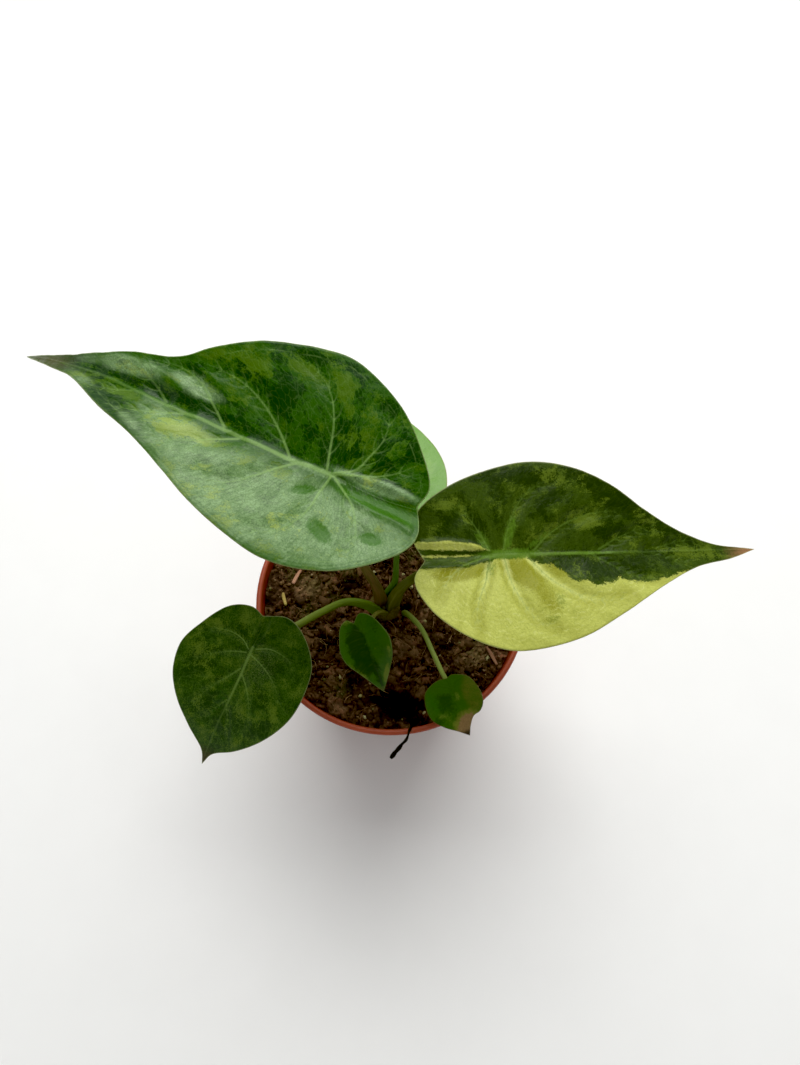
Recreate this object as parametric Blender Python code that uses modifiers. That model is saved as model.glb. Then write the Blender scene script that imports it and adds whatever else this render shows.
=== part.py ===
# Potted alocasia: a young plant with six leaves in a plastic nursery pot filled with soil.
# The origin is on the pot's axis, on the surface that the pot stands on. +Z is up, and -Y is the front.
# All driving dimensions are in millimetres, and MM turns them into metres.

import math

import bmesh
import bpy
from mathutils import Euler, Vector, noise

MM = 0.001
GAP = 0.3  # clearance between touching pieces

# Pot
POT_HEIGHT = 104.0
RIM_RADIUS = 60.0
LIP_WIDTH = 2.4
LIP_ROUND_POINTS = 5
COLLAR_HEIGHT = 12.0
COLLAR_TAPER = 1.5
COLLAR_STEP = 1.2
COLLAR_SLOPE = 1.5
BASE_RADIUS = 42.5
BASE_CHAMFER = 1.5
WALL = 1.6
FLOOR = 2.2
TURN_STEPS = 48
DRAIN_COUNT = 6
DRAIN_RADIUS = 3.5
DRAIN_CIRCLE = 29.0
DRAIN_START = math.radians(10.0)  # turns the holes clear of the floor's own edges

# Soil
SOIL_DROP = 7.0  # below the rim
SOIL_RINGS = 8
BUMP_HEIGHT = 1.3
BUMP_LENGTH = 9.0
HOLLOW_PLACE = (4.0, -44.0)
HOLLOW_DEPTH = 6.5
HOLLOW_SPREAD = 8.5

# Crown, the short stem that the leaf stalks stand on
CROWN_PLACE = (-3.4, -3.0)
CROWN_RADIUS = 7.0
CROWN_TOP = POT_HEIGHT - 5.0
CROWN_SUNK = 14.0
CROWN_SHOULDER = 1.6
CROWN_STEPS = 24

# Blade of a leaf, which lies in its own frame: origin at the stalk, +X towards the tip, +Z out of its face.
BLADE_THICKNESS = 0.7
VALLEY_ROUNDING = 2.0
LOBE_SHARE = 0.3  # share of each margin, from the notch, whose side ribs spread from the stalk
LOBE_POWER = 2.2
FRONT_POWER = 1.35
ROW_POWER = 1.2  # over 1 sets the rows closer near the midrib
RIB_BEND = 0.12  # how far a side rib bows back, as a share of its length
RIB_CREASE = 0.4
SIDE_RIB_WEIGHT = 0.25  # thickness of a side rib at the midrib, as a share of the midrib's own
MIDRIB_SHARE = 0.2  # width of the thick midrib, as a share of the half blade
MIDRIB_TAPER = 0.8
WAVE_SHIFT = 0.2  # sets the waves of the left margin off from those of the right
MARGIN_ROUND = 12  # points worked out on each stretch between two points of a margin

# Each leaf: place of the stalk's end on the blade, heading, dip and roll in degrees, length to the tip,
# fold of its halves up from the midrib in degrees, rise of the midrib's arch, droop of the margins,
# lift of the lobes, wave of the margin, thickness at the midrib, ribs on each side, rows on each side.
# The left and the right margin run from the notch to the tip.
LEAVES = {
    "blade_1_large": dict(
        place=(-17.5, 7.5, 198.0), heading=152.5, dip=8.5, roll=-8.0, length=139.5,
        fold=20.0, arch=15.0, droop=4.5, half_width=35.0, lift=5.0, back=30.0,
        wave=0.8, waves=3.0, midrib=2.2, ribs=9, rows=8,
        left=[(-27.5, -2.5), (-32, 6), (-31, 12.5), (-20, 24.5), (-9, 31), (3, 34), (14.5, 32.5),
              (29, 28.5), (43, 23), (59, 17), (75.5, 12.5), (99.5, 5), (115, 3.2), (139.5, 0)],
        right=[(-27.5, -2.5), (-29, -9), (-21, -20), (-12, -28), (-0.5, -33.5), (8, -35.2), (17, -33.5),
               (36.5, -26.5), (50, -19.5), (60, -13.5), (78, -9.5), (94, -5.5), (108, -3), (139.5, 0)],
    ),
    "blade_2_variegated": dict(
        place=(35.0, -9.0, 174.0), heading=5.0, dip=10.0, roll=13.0, length=101.5,
        fold=14.0, arch=3.0, droop=3.0, half_width=32.0, lift=0.0, back=26.0,
        wave=0.7, waves=2.0, midrib=2.2, ribs=9, rows=8,
        left=[(-23, -2), (-27, 6), (-25, 14.5), (-15, 22.5), (-1, 28), (13, 30.5), (27.5, 28.5),
              (42, 22.5), (55, 14), (69, 6.5), (83, 1.8), (101.5, 0)],
        right=[(-23, -2), (-27, -8.5), (-22.5, -18.5), (-11.5, -27.5), (1, -32.5), (9.5, -33), (27, -29.5),
               (42.5, -22), (58.5, -13.5), (75, -6.5), (90, -3.5), (101.5, 0)],
    ),
    "blade_3_heart": dict(
        place=(-52.5, -33.0, 137.0), heading=-118.5, dip=32.0, roll=-6.0, length=51.5,
        fold=8.0, arch=3.0, droop=2.0, half_width=26.0, lift=0.0, back=16.0,
        wave=0.4, waves=2.0, midrib=1.7, ribs=7, rows=7,
        left=[(-13, -1), (-16.5, 8), (-14, 15.5), (-5, 24), (5, 26), (16, 25), (28.5, 19),
              (38.5, 10.5), (45, 2.5), (51.5, 0)],
        right=[(-13, -1), (-14.5, -6.5), (-11.5, -14), (-0.5, -21.5), (8.5, -25), (18.5, -23.5),
               (27.5, -18.5), (37.5, -10), (45.5, -2), (51.5, 0)],
    ),
    "blade_4_folded": dict(
        place=(-11.0, -24.0, 127.0), heading=-68.0, dip=30.5, roll=12.0, length=25.7,
        fold=24.0, arch=2.0, droop=0.0, half_width=10.0, lift=0.0, back=7.0,
        wave=0.2, waves=2.0, midrib=1.1, ribs=5, rows=5,
        left=[(-4.6, -2.2), (-7.5, 1), (-6, 4.8), (-2.4, 7.7), (3, 10), (10, 9), (16, 6), (25.7, 0)],
        right=[(-4.6, -2.2), (-6.7, -4.6), (-5.4, -7.2), (-0.6, -9.2), (4, -10.1), (8.2, -9.3),
               (14.2, -6), (25.7, 0)],
    ),
    "blade_5_round": dict(
        place=(24.5, -44.0, 116.0), heading=-67.0, dip=21.0, roll=12.0, length=19.5,
        fold=12.0, arch=1.0, droop=0.0, half_width=11.0, lift=0.0, back=6.0,
        wave=0.3, waves=2.0, midrib=1.1, ribs=5, rows=5,
        left=[(-4.7, -0.6), (-5.4, 2), (-2.7, 8), (4, 10.4), (8.5, 9.6), (11.2, 7.4), (12.4, 4.3),
              (15.8, 1.7), (19.5, 0)],
        right=[(-4.7, -0.6), (-5.2, -4.2), (-2.8, -10.2), (3.3, -12.2), (8, -11.4), (12.7, -7.8),
               (16.4, -3.4), (19.5, 0)],
    ),
    "blade_6_rear": dict(
        place=(5.5, 21.5, 162.0), heading=104.0, dip=19.0, roll=0.0, length=62.0,
        fold=12.0, arch=3.0, droop=1.0, half_width=16.0, lift=0.0, back=11.0,
        wave=0.3, waves=2.0, midrib=1.5, ribs=6, rows=6,
        left=[(-11.5, -0.5), (-14, 6), (-11, 12), (-3, 16.5), (6, 17.5), (15, 16), (25, 12.5),
              (38, 7.5), (50, 2.8), (62, 0)],
        right=[(-11.5, -0.5), (-14.5, -6), (-12, -11), (-5, -15), (4, -17.2), (14, -16.6), (24, -13.8),
               (31, -11.3), (42, -6.5), (52, -2.4), (62, 0)],
    ),
}

# Each stalk: radius at its root and under its blade, and the points of its route above the crown or the
# soil, as x, y and height over the pot's rim. The last stretch, under the blade, is worked out.
STALKS = {
    "stalk_1": dict(
        blade="blade_1_large", root=2.1, top=1.6, approach=9.0,
        route=[(-5.3, -2.3, -4.6), (-5.3, -2.2, -2), (-6.3, 0.2, 9), (-10.5, 2.6, 25),
               (-15.5, 5.3, 50), (-18.8, 7.8, 72)],
    ),
    "stalk_2": dict(
        blade="blade_2_variegated", root=2.1, top=1.6, approach=9.0,
        route=[(-0.1, -3.2, -4.6), (0, -3.1, -2.5), (3.2, 0.3, 4), (9.8, 3.2, 12),
               (17.5, 2, 25), (26, -2.5, 44)],
    ),
    "stalk_3": dict(
        blade="blade_3_heart", root=1.6, top=1.4, approach=6.0,
        route=[(-6.5, -6.2, -4.6), (-6.7, -6.2, -3), (-10.5, -5.5, 2), (-19, -6.2, 8),
               (-29, -13.4, 16), (-38, -21, 22)],
    ),
    "stalk_4": dict(
        blade="blade_4_folded", root=0.95, top=0.8, approach=3.5,
        route=[(-2.8, -7.6, -4.6), (-2.9, -7.8, -3), (-4.6, -9.8, 5), (-6.5, -13, 12),
               (-8.8, -18, 17)],
    ),
    "stalk_5": dict(
        blade="blade_5_round", root=1.2, top=0.9, approach=3.0,
        route=[(5.5, -6, -15), (6, -6.5, -7), (8.6, -10, -1.5), (13.2, -17, 3),
               (17.5, -28, 7), (21.5, -37.5, 8.5)],
    ),
    "stalk_6": dict(
        blade="blade_6_rear", root=1.3, top=1.0, approach=5.0,
        route=[(-1.9, 1.4, -4.6), (-1.9, 1.5, -2.5), (1.4, 3.6, 6), (2.3, 8.8, 20),
               (3.8, 15.2, 38), (5.2, 19.4, 48)],
    ),
}
STALK_SPACING = 4.5

# Dead strand over the rim, and dry bits of wood in the soil. Each point is a radius, x, y and height over
# the rim.
STRAND = [(0.6, 9.5, -49.0, -19), (0.6, 9.4, -51.5, -13), (0.6, 9.0, -54.2, -6), (0.6, 8.2, -56.8, 0.4),
          (0.6, 7.4, -59.2, 1.3), (0.6, 6.6, -61.4, 0.2), (0.7, 4.6, -63.2, -2.6), (1.0, 2.6, -65.6, -5.0),
          (1.1, 1.4, -66.8, -6.2), (0.6, 0.0, -68.2, -7.4)]
TWIGS = {
    "twig_1": [(0.6, -41.0, 16.0, -11), (0.8, -42.4, 12.4, -5.6), (0.7, -44.6, 6.3, -3.6)],
    "twig_2": [(0.5, -49.6, 4.0, -11), (0.7, -49.0, 1.4, -5.4), (0.6, -47.2, -3.7, -3.8)],
    "twig_3": [(0.5, 41.4, -20.4, -11), (0.7, 42.6, -24.0, -5.8), (0.6, 45.4, -30.4, -4.2)],
}
STRAND_SPACING = 2.6
ROUTE_ROUND = 8  # points worked out on each stretch between two points of a route
END_RING = 0.2  # place of the ring that squares a tube's end, as a share of the spacing
TUBE_RESOLUTION = 2
SOCKET_TOP = POT_HEIGHT + 1.0  # up to where the soil is cut round what stands in it

COLOURS = {
    "pot": ((0.36, 0.075, 0.035), 0.42),
    "soil": ((0.055, 0.030, 0.020), 0.95),
    "crown": ((0.10, 0.085, 0.025), 0.7),
    "blade_1_large": ((0.10, 0.22, 0.04), 0.38),
    "blade_2_variegated": ((0.30, 0.36, 0.10), 0.42),
    "blade_3_heart": ((0.045, 0.11, 0.018), 0.42),
    "blade_4_folded": ((0.02, 0.065, 0.010), 0.42),
    "blade_5_round": ((0.06, 0.12, 0.02), 0.48),
    "blade_6_rear": ((0.22, 0.36, 0.14), 0.38),
    "stalk_1": ((0.16, 0.12, 0.035), 0.5),
    "stalk_2": ((0.10, 0.13, 0.02), 0.5),
    "stalk_3": ((0.09, 0.19, 0.03), 0.5),
    "stalk_4": ((0.16, 0.18, 0.04), 0.5),
    "stalk_5": ((0.12, 0.20, 0.05), 0.5),
    "stalk_6": ((0.08, 0.18, 0.02), 0.5),
    "strand": ((0.012, 0.010, 0.008), 0.85),
    "twig_1": ((0.42, 0.24, 0.16), 0.9),
    "twig_2": ((0.40, 0.32, 0.12), 0.9),
    "twig_3": ((0.30, 0.20, 0.13), 0.9),
}

PART_NAME = "potted_alocasia"


def clear_scene():
    for obj in list(bpy.data.objects):
        bpy.data.objects.remove(obj, do_unlink=True)


def collection(name):
    made = bpy.data.collections.new(name)
    bpy.context.scene.collection.children.link(made)
    return made


def material(name):
    colour, roughness = COLOURS[name]
    made = bpy.data.materials.new(name)
    made.use_nodes = True
    shader = made.node_tree.nodes["Principled BSDF"]
    shader.inputs["Base Color"].default_value = (*colour, 1.0)
    shader.inputs["Roughness"].default_value = roughness
    shader.inputs["Metallic"].default_value = 0.0
    return made


def hide_helper(obj):
    obj.hide_render = True
    obj.display_type = "WIRE"


def smooth_line(points, steps):
    # A centripetal Catmull-Rom curve through all of the points, which may have any number of coordinates.
    points = [Vector(p) for p in points]
    points = [2 * points[0] - points[1]] + points + [2 * points[-1] - points[-2]]
    line = []
    for p0, p1, p2, p3 in zip(points, points[1:], points[2:], points[3:]):
        t1 = math.sqrt((p1 - p0).length)
        t2 = t1 + math.sqrt((p2 - p1).length)
        t3 = t2 + math.sqrt((p3 - p2).length)
        for step in range(steps):
            t = t1 + (t2 - t1) * step / steps
            a1 = p0.lerp(p1, t / t1)
            a2 = p1.lerp(p2, (t - t1) / (t2 - t1))
            a3 = p2.lerp(p3, (t - t2) / (t3 - t2))
            b1 = a1.lerp(a2, t / t2)
            b2 = a2.lerp(a3, (t - t1) / (t3 - t1))
            line.append(b1.lerp(b2, (t - t1) / (t2 - t1)))
    line.append(points[-2])
    return line


def at_share(line, share):
    # The point at this share of the line's length.
    lengths = [(b - a).length for a, b in zip(line, line[1:])]
    left = share * sum(lengths)
    for start, end, length in zip(line, line[1:], lengths):
        if left <= length:
            return start.lerp(end, left / length)
        left -= length
    return line[-1].copy()


def line_length(line):
    return sum((b - a).length for a, b in zip(line, line[1:]))


def to_mesh_object(obj, name, group):
    # The evaluated shape of obj as a mesh object in the given collection. obj itself is removed.
    graph = bpy.context.evaluated_depsgraph_get()
    mesh = bpy.data.meshes.new_from_object(obj.evaluated_get(graph), depsgraph=graph)
    matrix = obj.matrix_world.copy()
    bpy.data.objects.remove(obj, do_unlink=True)
    bm = bmesh.new()
    bm.from_mesh(mesh)
    bmesh.ops.remove_doubles(bm, verts=bm.verts, dist=0.001 * MM)
    bm.to_mesh(mesh)
    bm.free()
    mesh.name = name
    made = bpy.data.objects.new(name, mesh)
    made.matrix_world = matrix
    group.objects.link(made)
    return made


def turned(name, profile, group, steps=TURN_STEPS):
    # profile runs out from the axis, over the top and down the outer side, back to the axis.
    mesh = bpy.data.meshes.new(name)
    verts = [(r * MM, 0.0, z * MM) for r, z in profile]
    edges = [(i, i + 1) for i in range(len(verts) - 1)]
    mesh.from_pydata(verts, edges, [])
    obj = bpy.data.objects.new(name, mesh)
    group.objects.link(obj)
    screw = obj.modifiers.new("Turn", "SCREW")
    screw.steps = steps
    screw.render_steps = steps
    screw.use_merge_vertices = True
    screw.merge_threshold = 0.001 * MM
    return obj


def tube_points(rows, spacing):
    # rows hold radius, x, y and z at a few points of the route, and points are worked out between them.
    fine = smooth_line([Vector(row) for row in rows], ROUTE_ROUND)
    count = max(4, round(line_length([row.yzw for row in fine]) / spacing))
    # A ring close to each end keeps the caps square to the route.
    near = END_RING / count
    shares = [0.0, near] + [i / count for i in range(1, count)] + [1 - near, 1.0]
    return [at_share(fine, share) for share in shares]


def tube(name, points, group):
    data = bpy.data.curves.new(name, "CURVE")
    data.dimensions = "3D"
    data.bevel_depth = MM
    data.bevel_resolution = TUBE_RESOLUTION
    data.use_fill_caps = True
    data.twist_mode = "MINIMUM"
    spline = data.splines.new("POLY")
    spline.points.add(len(points) - 1)
    for place, (radius, x, y, z) in zip(spline.points, points):
        place.co = (x * MM, y * MM, z * MM, 1.0)
        place.radius = radius
    obj = bpy.data.objects.new(name, data)
    group.objects.link(obj)
    return obj


def socket_points(points):
    # The part of a tube that stands in the soil, wider by the gap and as much longer at its foot.
    wide = [Vector((point[0] + GAP, *point.yzw)) for point in points if point[3] < SOCKET_TOP]
    along = (points[0].yzw - points[1].yzw).normalized() * GAP
    wide[0] = Vector((wide[0][0], *(points[0].yzw + along)))
    return wide


def cut(obj, cutter):
    boolean = obj.modifiers.new("Cut " + cutter.name, "BOOLEAN")
    boolean.operation = "DIFFERENCE"
    boolean.solver = "EXACT"
    boolean.object = cutter


def round_smooth(obj, angle=40.0):
    obj.data.shade_smooth()
    obj.data.set_sharp_from_angle(angle=math.radians(angle))


def finish(obj):
    obj.data.materials.clear()
    obj.data.materials.append(material(obj.name))


# Pot

def pot_outside(height):
    # Outer radius of the pot below its collar.
    share = height / (POT_HEIGHT - COLLAR_HEIGHT)
    return BASE_RADIUS + (RIM_RADIUS - COLLAR_TAPER - COLLAR_STEP - BASE_RADIUS) * share


def pot_inside():
    # The inner side of the pot, from the floor's edge up to the lip.
    step = POT_HEIGHT - COLLAR_HEIGHT
    return [
        (pot_outside(FLOOR) - WALL - BASE_CHAMFER, FLOOR),
        (pot_outside(FLOOR + BASE_CHAMFER) - WALL, FLOOR + BASE_CHAMFER),
        (pot_outside(step) - WALL, step - COLLAR_SLOPE),
        (RIM_RADIUS - COLLAR_TAPER - WALL, step + COLLAR_SLOPE),
        (RIM_RADIUS - LIP_WIDTH, POT_HEIGHT - LIP_WIDTH),
    ]


def make_pot(parts, cutters):
    step = POT_HEIGHT - COLLAR_HEIGHT
    half = LIP_WIDTH / 2
    lip = []
    for i in range(LIP_ROUND_POINTS + 1):
        angle = math.pi * (1 - i / LIP_ROUND_POINTS)
        lip.append((RIM_RADIUS - half + half * math.cos(angle), POT_HEIGHT - half + half * math.sin(angle)))
    outside = [
        (RIM_RADIUS - COLLAR_TAPER, step),
        (RIM_RADIUS - COLLAR_TAPER - COLLAR_STEP, step - COLLAR_SLOPE),
        (pot_outside(BASE_CHAMFER), BASE_CHAMFER),
        (BASE_RADIUS - BASE_CHAMFER, 0.0),
        (0.0, 0.0),
    ]
    pot = turned("pot", [(0.0, FLOOR)] + pot_inside() + lip + outside, parts)
    for i in range(DRAIN_COUNT):
        angle = 2 * math.pi * i / DRAIN_COUNT + DRAIN_START
        bpy.ops.mesh.primitive_cylinder_add(
            vertices=12, radius=DRAIN_RADIUS * MM, depth=4 * FLOOR * MM,
            location=(DRAIN_CIRCLE * MM * math.cos(angle), DRAIN_CIRCLE * MM * math.sin(angle), 0.0),
            rotation=(0.0, 0.0, angle),
        )
        hole = bpy.context.object
        hole.name = "drain_cut_%d" % (i + 1)
        for old in list(hole.users_collection):
            old.objects.unlink(hole)
        cutters.objects.link(hole)
        hide_helper(hole)
        cut(pot, hole)
    round_smooth(pot)
    finish(pot)
    return pot


# Soil

def soil_height(x, y):
    # Height of the soil's surface, with bumps and the hollow near the front of the pot.
    away = math.hypot(x - HOLLOW_PLACE[0], y - HOLLOW_PLACE[1]) / HOLLOW_SPREAD
    bumps = noise.noise(Vector((x / BUMP_LENGTH, y / BUMP_LENGTH, 0.5)))
    bumps += 0.5 * noise.noise(Vector((2.3 * x / BUMP_LENGTH, 2.3 * y / BUMP_LENGTH, 4.5)))
    return POT_HEIGHT - SOIL_DROP + BUMP_HEIGHT * bumps - HOLLOW_DEPTH * math.exp(-away * away)


def make_soil(parts, cutters, stuck):
    top = POT_HEIGHT - SOIL_DROP
    side = [(r - GAP, z) for r, z in pot_inside()[1:4]]
    edge = RIM_RADIUS - COLLAR_TAPER - WALL
    profile = [(edge * i / SOIL_RINGS, top) for i in range(SOIL_RINGS + 1)]
    profile += list(reversed(side))
    profile += [(pot_inside()[0][0] - GAP, FLOOR + GAP), (0.0, FLOOR + GAP)]
    soil = to_mesh_object(turned("soil_plain", profile, parts), "soil", parts)
    for vert in soil.data.vertices:
        if vert.co.z > (top - 0.01) * MM:
            vert.co.z = soil_height(vert.co.x / MM, vert.co.y / MM) * MM
    for name, points in stuck.items():
        socket = tube(name + "_curve", socket_points(points), cutters)
        hole = to_mesh_object(socket, name + "_cut", cutters)
        hide_helper(hole)
        cut(soil, hole)
    crown_hole = turned("crown_cut", crown_profile(GAP), cutters, CROWN_STEPS)
    crown_hole.location = (CROWN_PLACE[0] * MM, CROWN_PLACE[1] * MM, 0.0)
    hide_helper(crown_hole)
    cut(soil, crown_hole)
    round_smooth(soil, 60.0)
    finish(soil)
    return soil


# Crown

def crown_profile(grow):
    # grow makes the hole in the soil that the crown stands in.
    low = CROWN_TOP - CROWN_SUNK
    wide = CROWN_RADIUS + grow
    return [
        (0.0, CROWN_TOP + 4 * grow),
        (wide - CROWN_SHOULDER, CROWN_TOP + 4 * grow),
        (wide - 0.4 * CROWN_SHOULDER, CROWN_TOP - 0.3 * CROWN_SHOULDER),
        (wide, CROWN_TOP - CROWN_SHOULDER),
        (wide, CROWN_TOP - 0.5 * CROWN_SUNK),
        (0.8 * wide, CROWN_TOP - 0.8 * CROWN_SUNK),
        (0.5 * wide, low - grow),
        (0.0, low - grow),
    ]


def make_crown(parts):
    crown = turned("crown", crown_profile(0.0), parts, CROWN_STEPS)
    crown.location = (CROWN_PLACE[0] * MM, CROWN_PLACE[1] * MM, 0.0)
    round_smooth(crown)
    finish(crown)
    return crown


# Leaves

def blade_lift(leaf, x, y):
    # Height of the blade's upper face over the line from the stalk to the tip.
    t = x / leaf["length"]
    if t > 0:
        arch = 4 * leaf["arch"] * t * (1 - t)
    else:
        arch = 4 * leaf["arch"] * t + leaf["lift"] * (x / leaf["back"]) ** 2
    fold = math.tan(math.radians(leaf["fold"])) * (math.hypot(y, VALLEY_ROUNDING) - VALLEY_ROUNDING)
    return arch + fold - leaf["droop"] * (y / leaf["half_width"]) ** 2


def midrib_place(leaf, share):
    # Where the side rib that ends at this share of the margin leaves the midrib.
    notch_x, notch_y = leaf["left"][0]
    if share < LOBE_SHARE:
        back = (1 - share / LOBE_SHARE) ** LOBE_POWER
        return Vector((notch_x * back, notch_y * back))
    front = ((share - LOBE_SHARE) / (1 - LOBE_SHARE)) ** FRONT_POWER
    return Vector((leaf["length"] * front, 0.0))


def blade_point(leaf, margins, across, share):
    # across is -1 at the right margin, 0 at the midrib and 1 at the left margin.
    middle = midrib_place(leaf, share)
    edge = at_share(margins[across > 0], share)
    out = abs(across) ** ROW_POWER
    flat = middle.lerp(edge, out)
    flat.x -= RIB_BEND * (edge - middle).length * math.sin(math.pi * out) * math.sin(math.pi * share)
    lift = blade_lift(leaf, flat.x, flat.y)
    ends = math.sin(math.pi * share)
    phase = leaf["waves"] * share + WAVE_SHIFT * (across > 0)
    lift += leaf["wave"] * out ** 3 * ends * math.sin(2 * math.pi * phase)
    crease = math.cos(math.pi * leaf["ribs"] * share) ** 2
    lift -= RIB_CREASE * crease * math.sin(math.pi * out) * ends
    thick = max(0.0, 1 - out / MIDRIB_SHARE) * (1 - MIDRIB_TAPER * share)
    thick += SIDE_RIB_WEIGHT * crease ** 2 * (1 - out) * ends
    return Vector((flat.x, flat.y, lift)), min(1.0, thick)


def make_blade(name, leaf, parts):
    margins = {side: smooth_line(leaf["left" if side else "right"], MARGIN_ROUND) for side in (True, False)}
    bm = bmesh.new()
    bmesh.ops.create_grid(bm, x_segments=2 * leaf["rows"], y_segments=3 * leaf["ribs"], size=1.0)
    weights = bm.verts.layers.deform.verify()
    for vert in bm.verts:
        point, thick = blade_point(leaf, margins, vert.co.x, (vert.co.y + 1) / 2)
        vert.co = point * MM
        vert[weights][0] = thick
    bmesh.ops.remove_doubles(bm, verts=bm.verts, dist=0.001 * MM)
    bmesh.ops.triangulate(bm, faces=bm.faces, quad_method="SHORT_EDGE")
    bmesh.ops.recalc_face_normals(bm, faces=bm.faces)
    if sum(face.normal.z for face in bm.faces) < 0:
        bmesh.ops.reverse_faces(bm, faces=bm.faces)
    mesh = bpy.data.meshes.new(name)
    bm.to_mesh(mesh)
    bm.free()
    blade = bpy.data.objects.new(name, mesh)
    parts.objects.link(blade)
    blade.vertex_groups.new(name="rib")
    solid = blade.modifiers.new("Thickness", "SOLIDIFY")
    solid.thickness = leaf["midrib"] * MM
    solid.vertex_group = "rib"
    solid.thickness_vertex_group = BLADE_THICKNESS / leaf["midrib"]
    solid.offset = -1.0
    blade.location = Vector(leaf["place"]) * MM
    blade.rotation_euler = blade_turn(leaf)
    round_smooth(blade, 50.0)
    finish(blade)
    return blade


def blade_turn(leaf):
    return Euler((math.radians(leaf["roll"]), math.radians(leaf["dip"]), math.radians(leaf["heading"])))


def blade_normal(leaf):
    # The direction out of the upper face where the stalk joins it.
    slope = 4 * leaf["arch"] / leaf["length"]
    normal = Vector((-slope, 0.0, 1.0)).normalized()
    return blade_turn(leaf).to_matrix() @ normal


def stalk_rows(stalk):
    # Radius and place along the stalk, which comes up to the midrib along the blade's normal.
    leaf = LEAVES[stalk["blade"]]
    route = [Vector((x, y, z + POT_HEIGHT)) for x, y, z in stalk["route"]]
    normal = blade_normal(leaf)
    end = Vector(leaf["place"]) - normal * (leaf["midrib"] + GAP)
    route += [end - normal * stalk["approach"], end]
    whole = line_length(route)
    rows = []
    for i, point in enumerate(route):
        share = line_length(route[: i + 1]) / whole if i else 0.0
        rows.append((stalk["root"] + (stalk["top"] - stalk["root"]) * share, *point))
    return rows


def make_tube(name, points, parts):
    made = to_mesh_object(tube(name + "_curve", points, parts), name, parts)
    round_smooth(made)
    finish(made)
    return made


def over_rim(rows):
    return [(radius, x, y, z + POT_HEIGHT) for radius, x, y, z in rows]


def main():
    clear_scene()
    parts = collection(PART_NAME)
    cutters = collection("cutters")
    tubes = {name: tube_points(stalk_rows(stalk), STALK_SPACING) for name, stalk in STALKS.items()}
    tubes["strand"] = tube_points(over_rim(STRAND), STRAND_SPACING)
    for name, rows in TWIGS.items():
        tubes[name] = tube_points(over_rim(rows), STRAND_SPACING)
    make_pot(parts, cutters)
    make_soil(parts, cutters, {name: tubes[name] for name in ("stalk_5", "strand", *TWIGS)})
    make_crown(parts)
    for name, leaf in LEAVES.items():
        make_blade(name, leaf, parts)
    for name, points in tubes.items():
        make_tube(name, points, parts)


main()
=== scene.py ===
import math
import random

import bmesh
import bpy
import numpy as np
from mathutils import Euler, Matrix, Vector, noise


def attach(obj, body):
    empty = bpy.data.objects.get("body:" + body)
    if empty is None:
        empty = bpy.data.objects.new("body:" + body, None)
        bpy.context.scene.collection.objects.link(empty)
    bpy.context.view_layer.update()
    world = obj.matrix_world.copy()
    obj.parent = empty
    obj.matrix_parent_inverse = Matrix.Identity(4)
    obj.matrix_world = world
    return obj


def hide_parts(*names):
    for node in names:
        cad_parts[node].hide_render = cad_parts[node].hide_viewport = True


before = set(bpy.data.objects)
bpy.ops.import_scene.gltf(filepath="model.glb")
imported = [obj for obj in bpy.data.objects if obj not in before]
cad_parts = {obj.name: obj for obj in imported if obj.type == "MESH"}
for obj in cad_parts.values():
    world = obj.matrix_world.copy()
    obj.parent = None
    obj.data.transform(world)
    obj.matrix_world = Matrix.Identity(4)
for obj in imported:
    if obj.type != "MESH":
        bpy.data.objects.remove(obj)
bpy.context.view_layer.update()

mm = 0.001
rimHeight = 104.0  # all shapes below are in millimetres, measured from the underside of the pot


# --- small helpers for shapes


def smoothLine(points, steps):
    # rounded line through all of the points, as in the solids
    pts = [np.array(p, float) for p in points]
    pts = [2 * pts[0] - pts[1]] + pts + [2 * pts[-1] - pts[-2]]
    line = []
    for p0, p1, p2, p3 in zip(pts, pts[1:], pts[2:], pts[3:]):
        t1 = math.sqrt(np.linalg.norm(p1 - p0))
        t2 = t1 + math.sqrt(np.linalg.norm(p2 - p1))
        t3 = t2 + math.sqrt(np.linalg.norm(p3 - p2))
        for step in range(steps):
            t = t1 + (t2 - t1) * step / steps
            a1 = p0 + (p1 - p0) * t / t1
            a2 = p1 + (p2 - p1) * (t - t1) / (t2 - t1)
            a3 = p2 + (p3 - p2) * (t - t2) / (t3 - t2)
            b1 = a1 + (a2 - a1) * t / t2
            b2 = a2 + (a3 - a2) * (t - t1) / (t3 - t1)
            line.append(b1 + (b2 - b1) * (t - t1) / (t2 - t1))
    line.append(pts[-2])
    return np.array(line)


def lineLength(line):
    return float(np.linalg.norm(np.diff(np.asarray(line, float), axis=0), axis=1).sum())


def atShares(line, shares):
    # the places at these shares of the line's length
    steps = np.linalg.norm(np.diff(line, axis=0), axis=1)
    reach = np.concatenate([[0.0], np.cumsum(steps)]) / steps.sum()
    return np.stack([np.interp(shares, reach, line[:, i]) for i in range(line.shape[1])], -1)


def lineDistance(spots, line):
    # how far each spot is from the line, and at which share of the line it is nearest
    best = np.full(len(spots), 1e9)
    share = np.zeros(len(spots))
    reach = 0.0
    for a, b in zip(line, line[1:]):
        d = b - a
        size = float(np.linalg.norm(d)) + 1e-9
        t = np.clip((spots - a) @ d / size**2, 0, 1)
        away = np.linalg.norm(spots - a - t[:, None] * d, axis=1)
        near = away < best
        best[near] = away[near]
        share[near] = (reach + t[near] * size)
        reach += size
    return best, share / reach


def bell(value, width):
    return np.exp(-((value / width) ** 2))


def gridFaces(rows, columns, closed=False):
    # quads of a grid whose points run row by row; closed joins the last column to the first
    i, j = np.meshgrid(np.arange(rows - 1), np.arange(columns if closed else columns - 1), indexing="ij")
    k = (j + 1) % columns
    return np.stack([i * columns + j, i * columns + k, (i + 1) * columns + k, (i + 1) * columns + j], -1).reshape(-1, 4)


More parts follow.
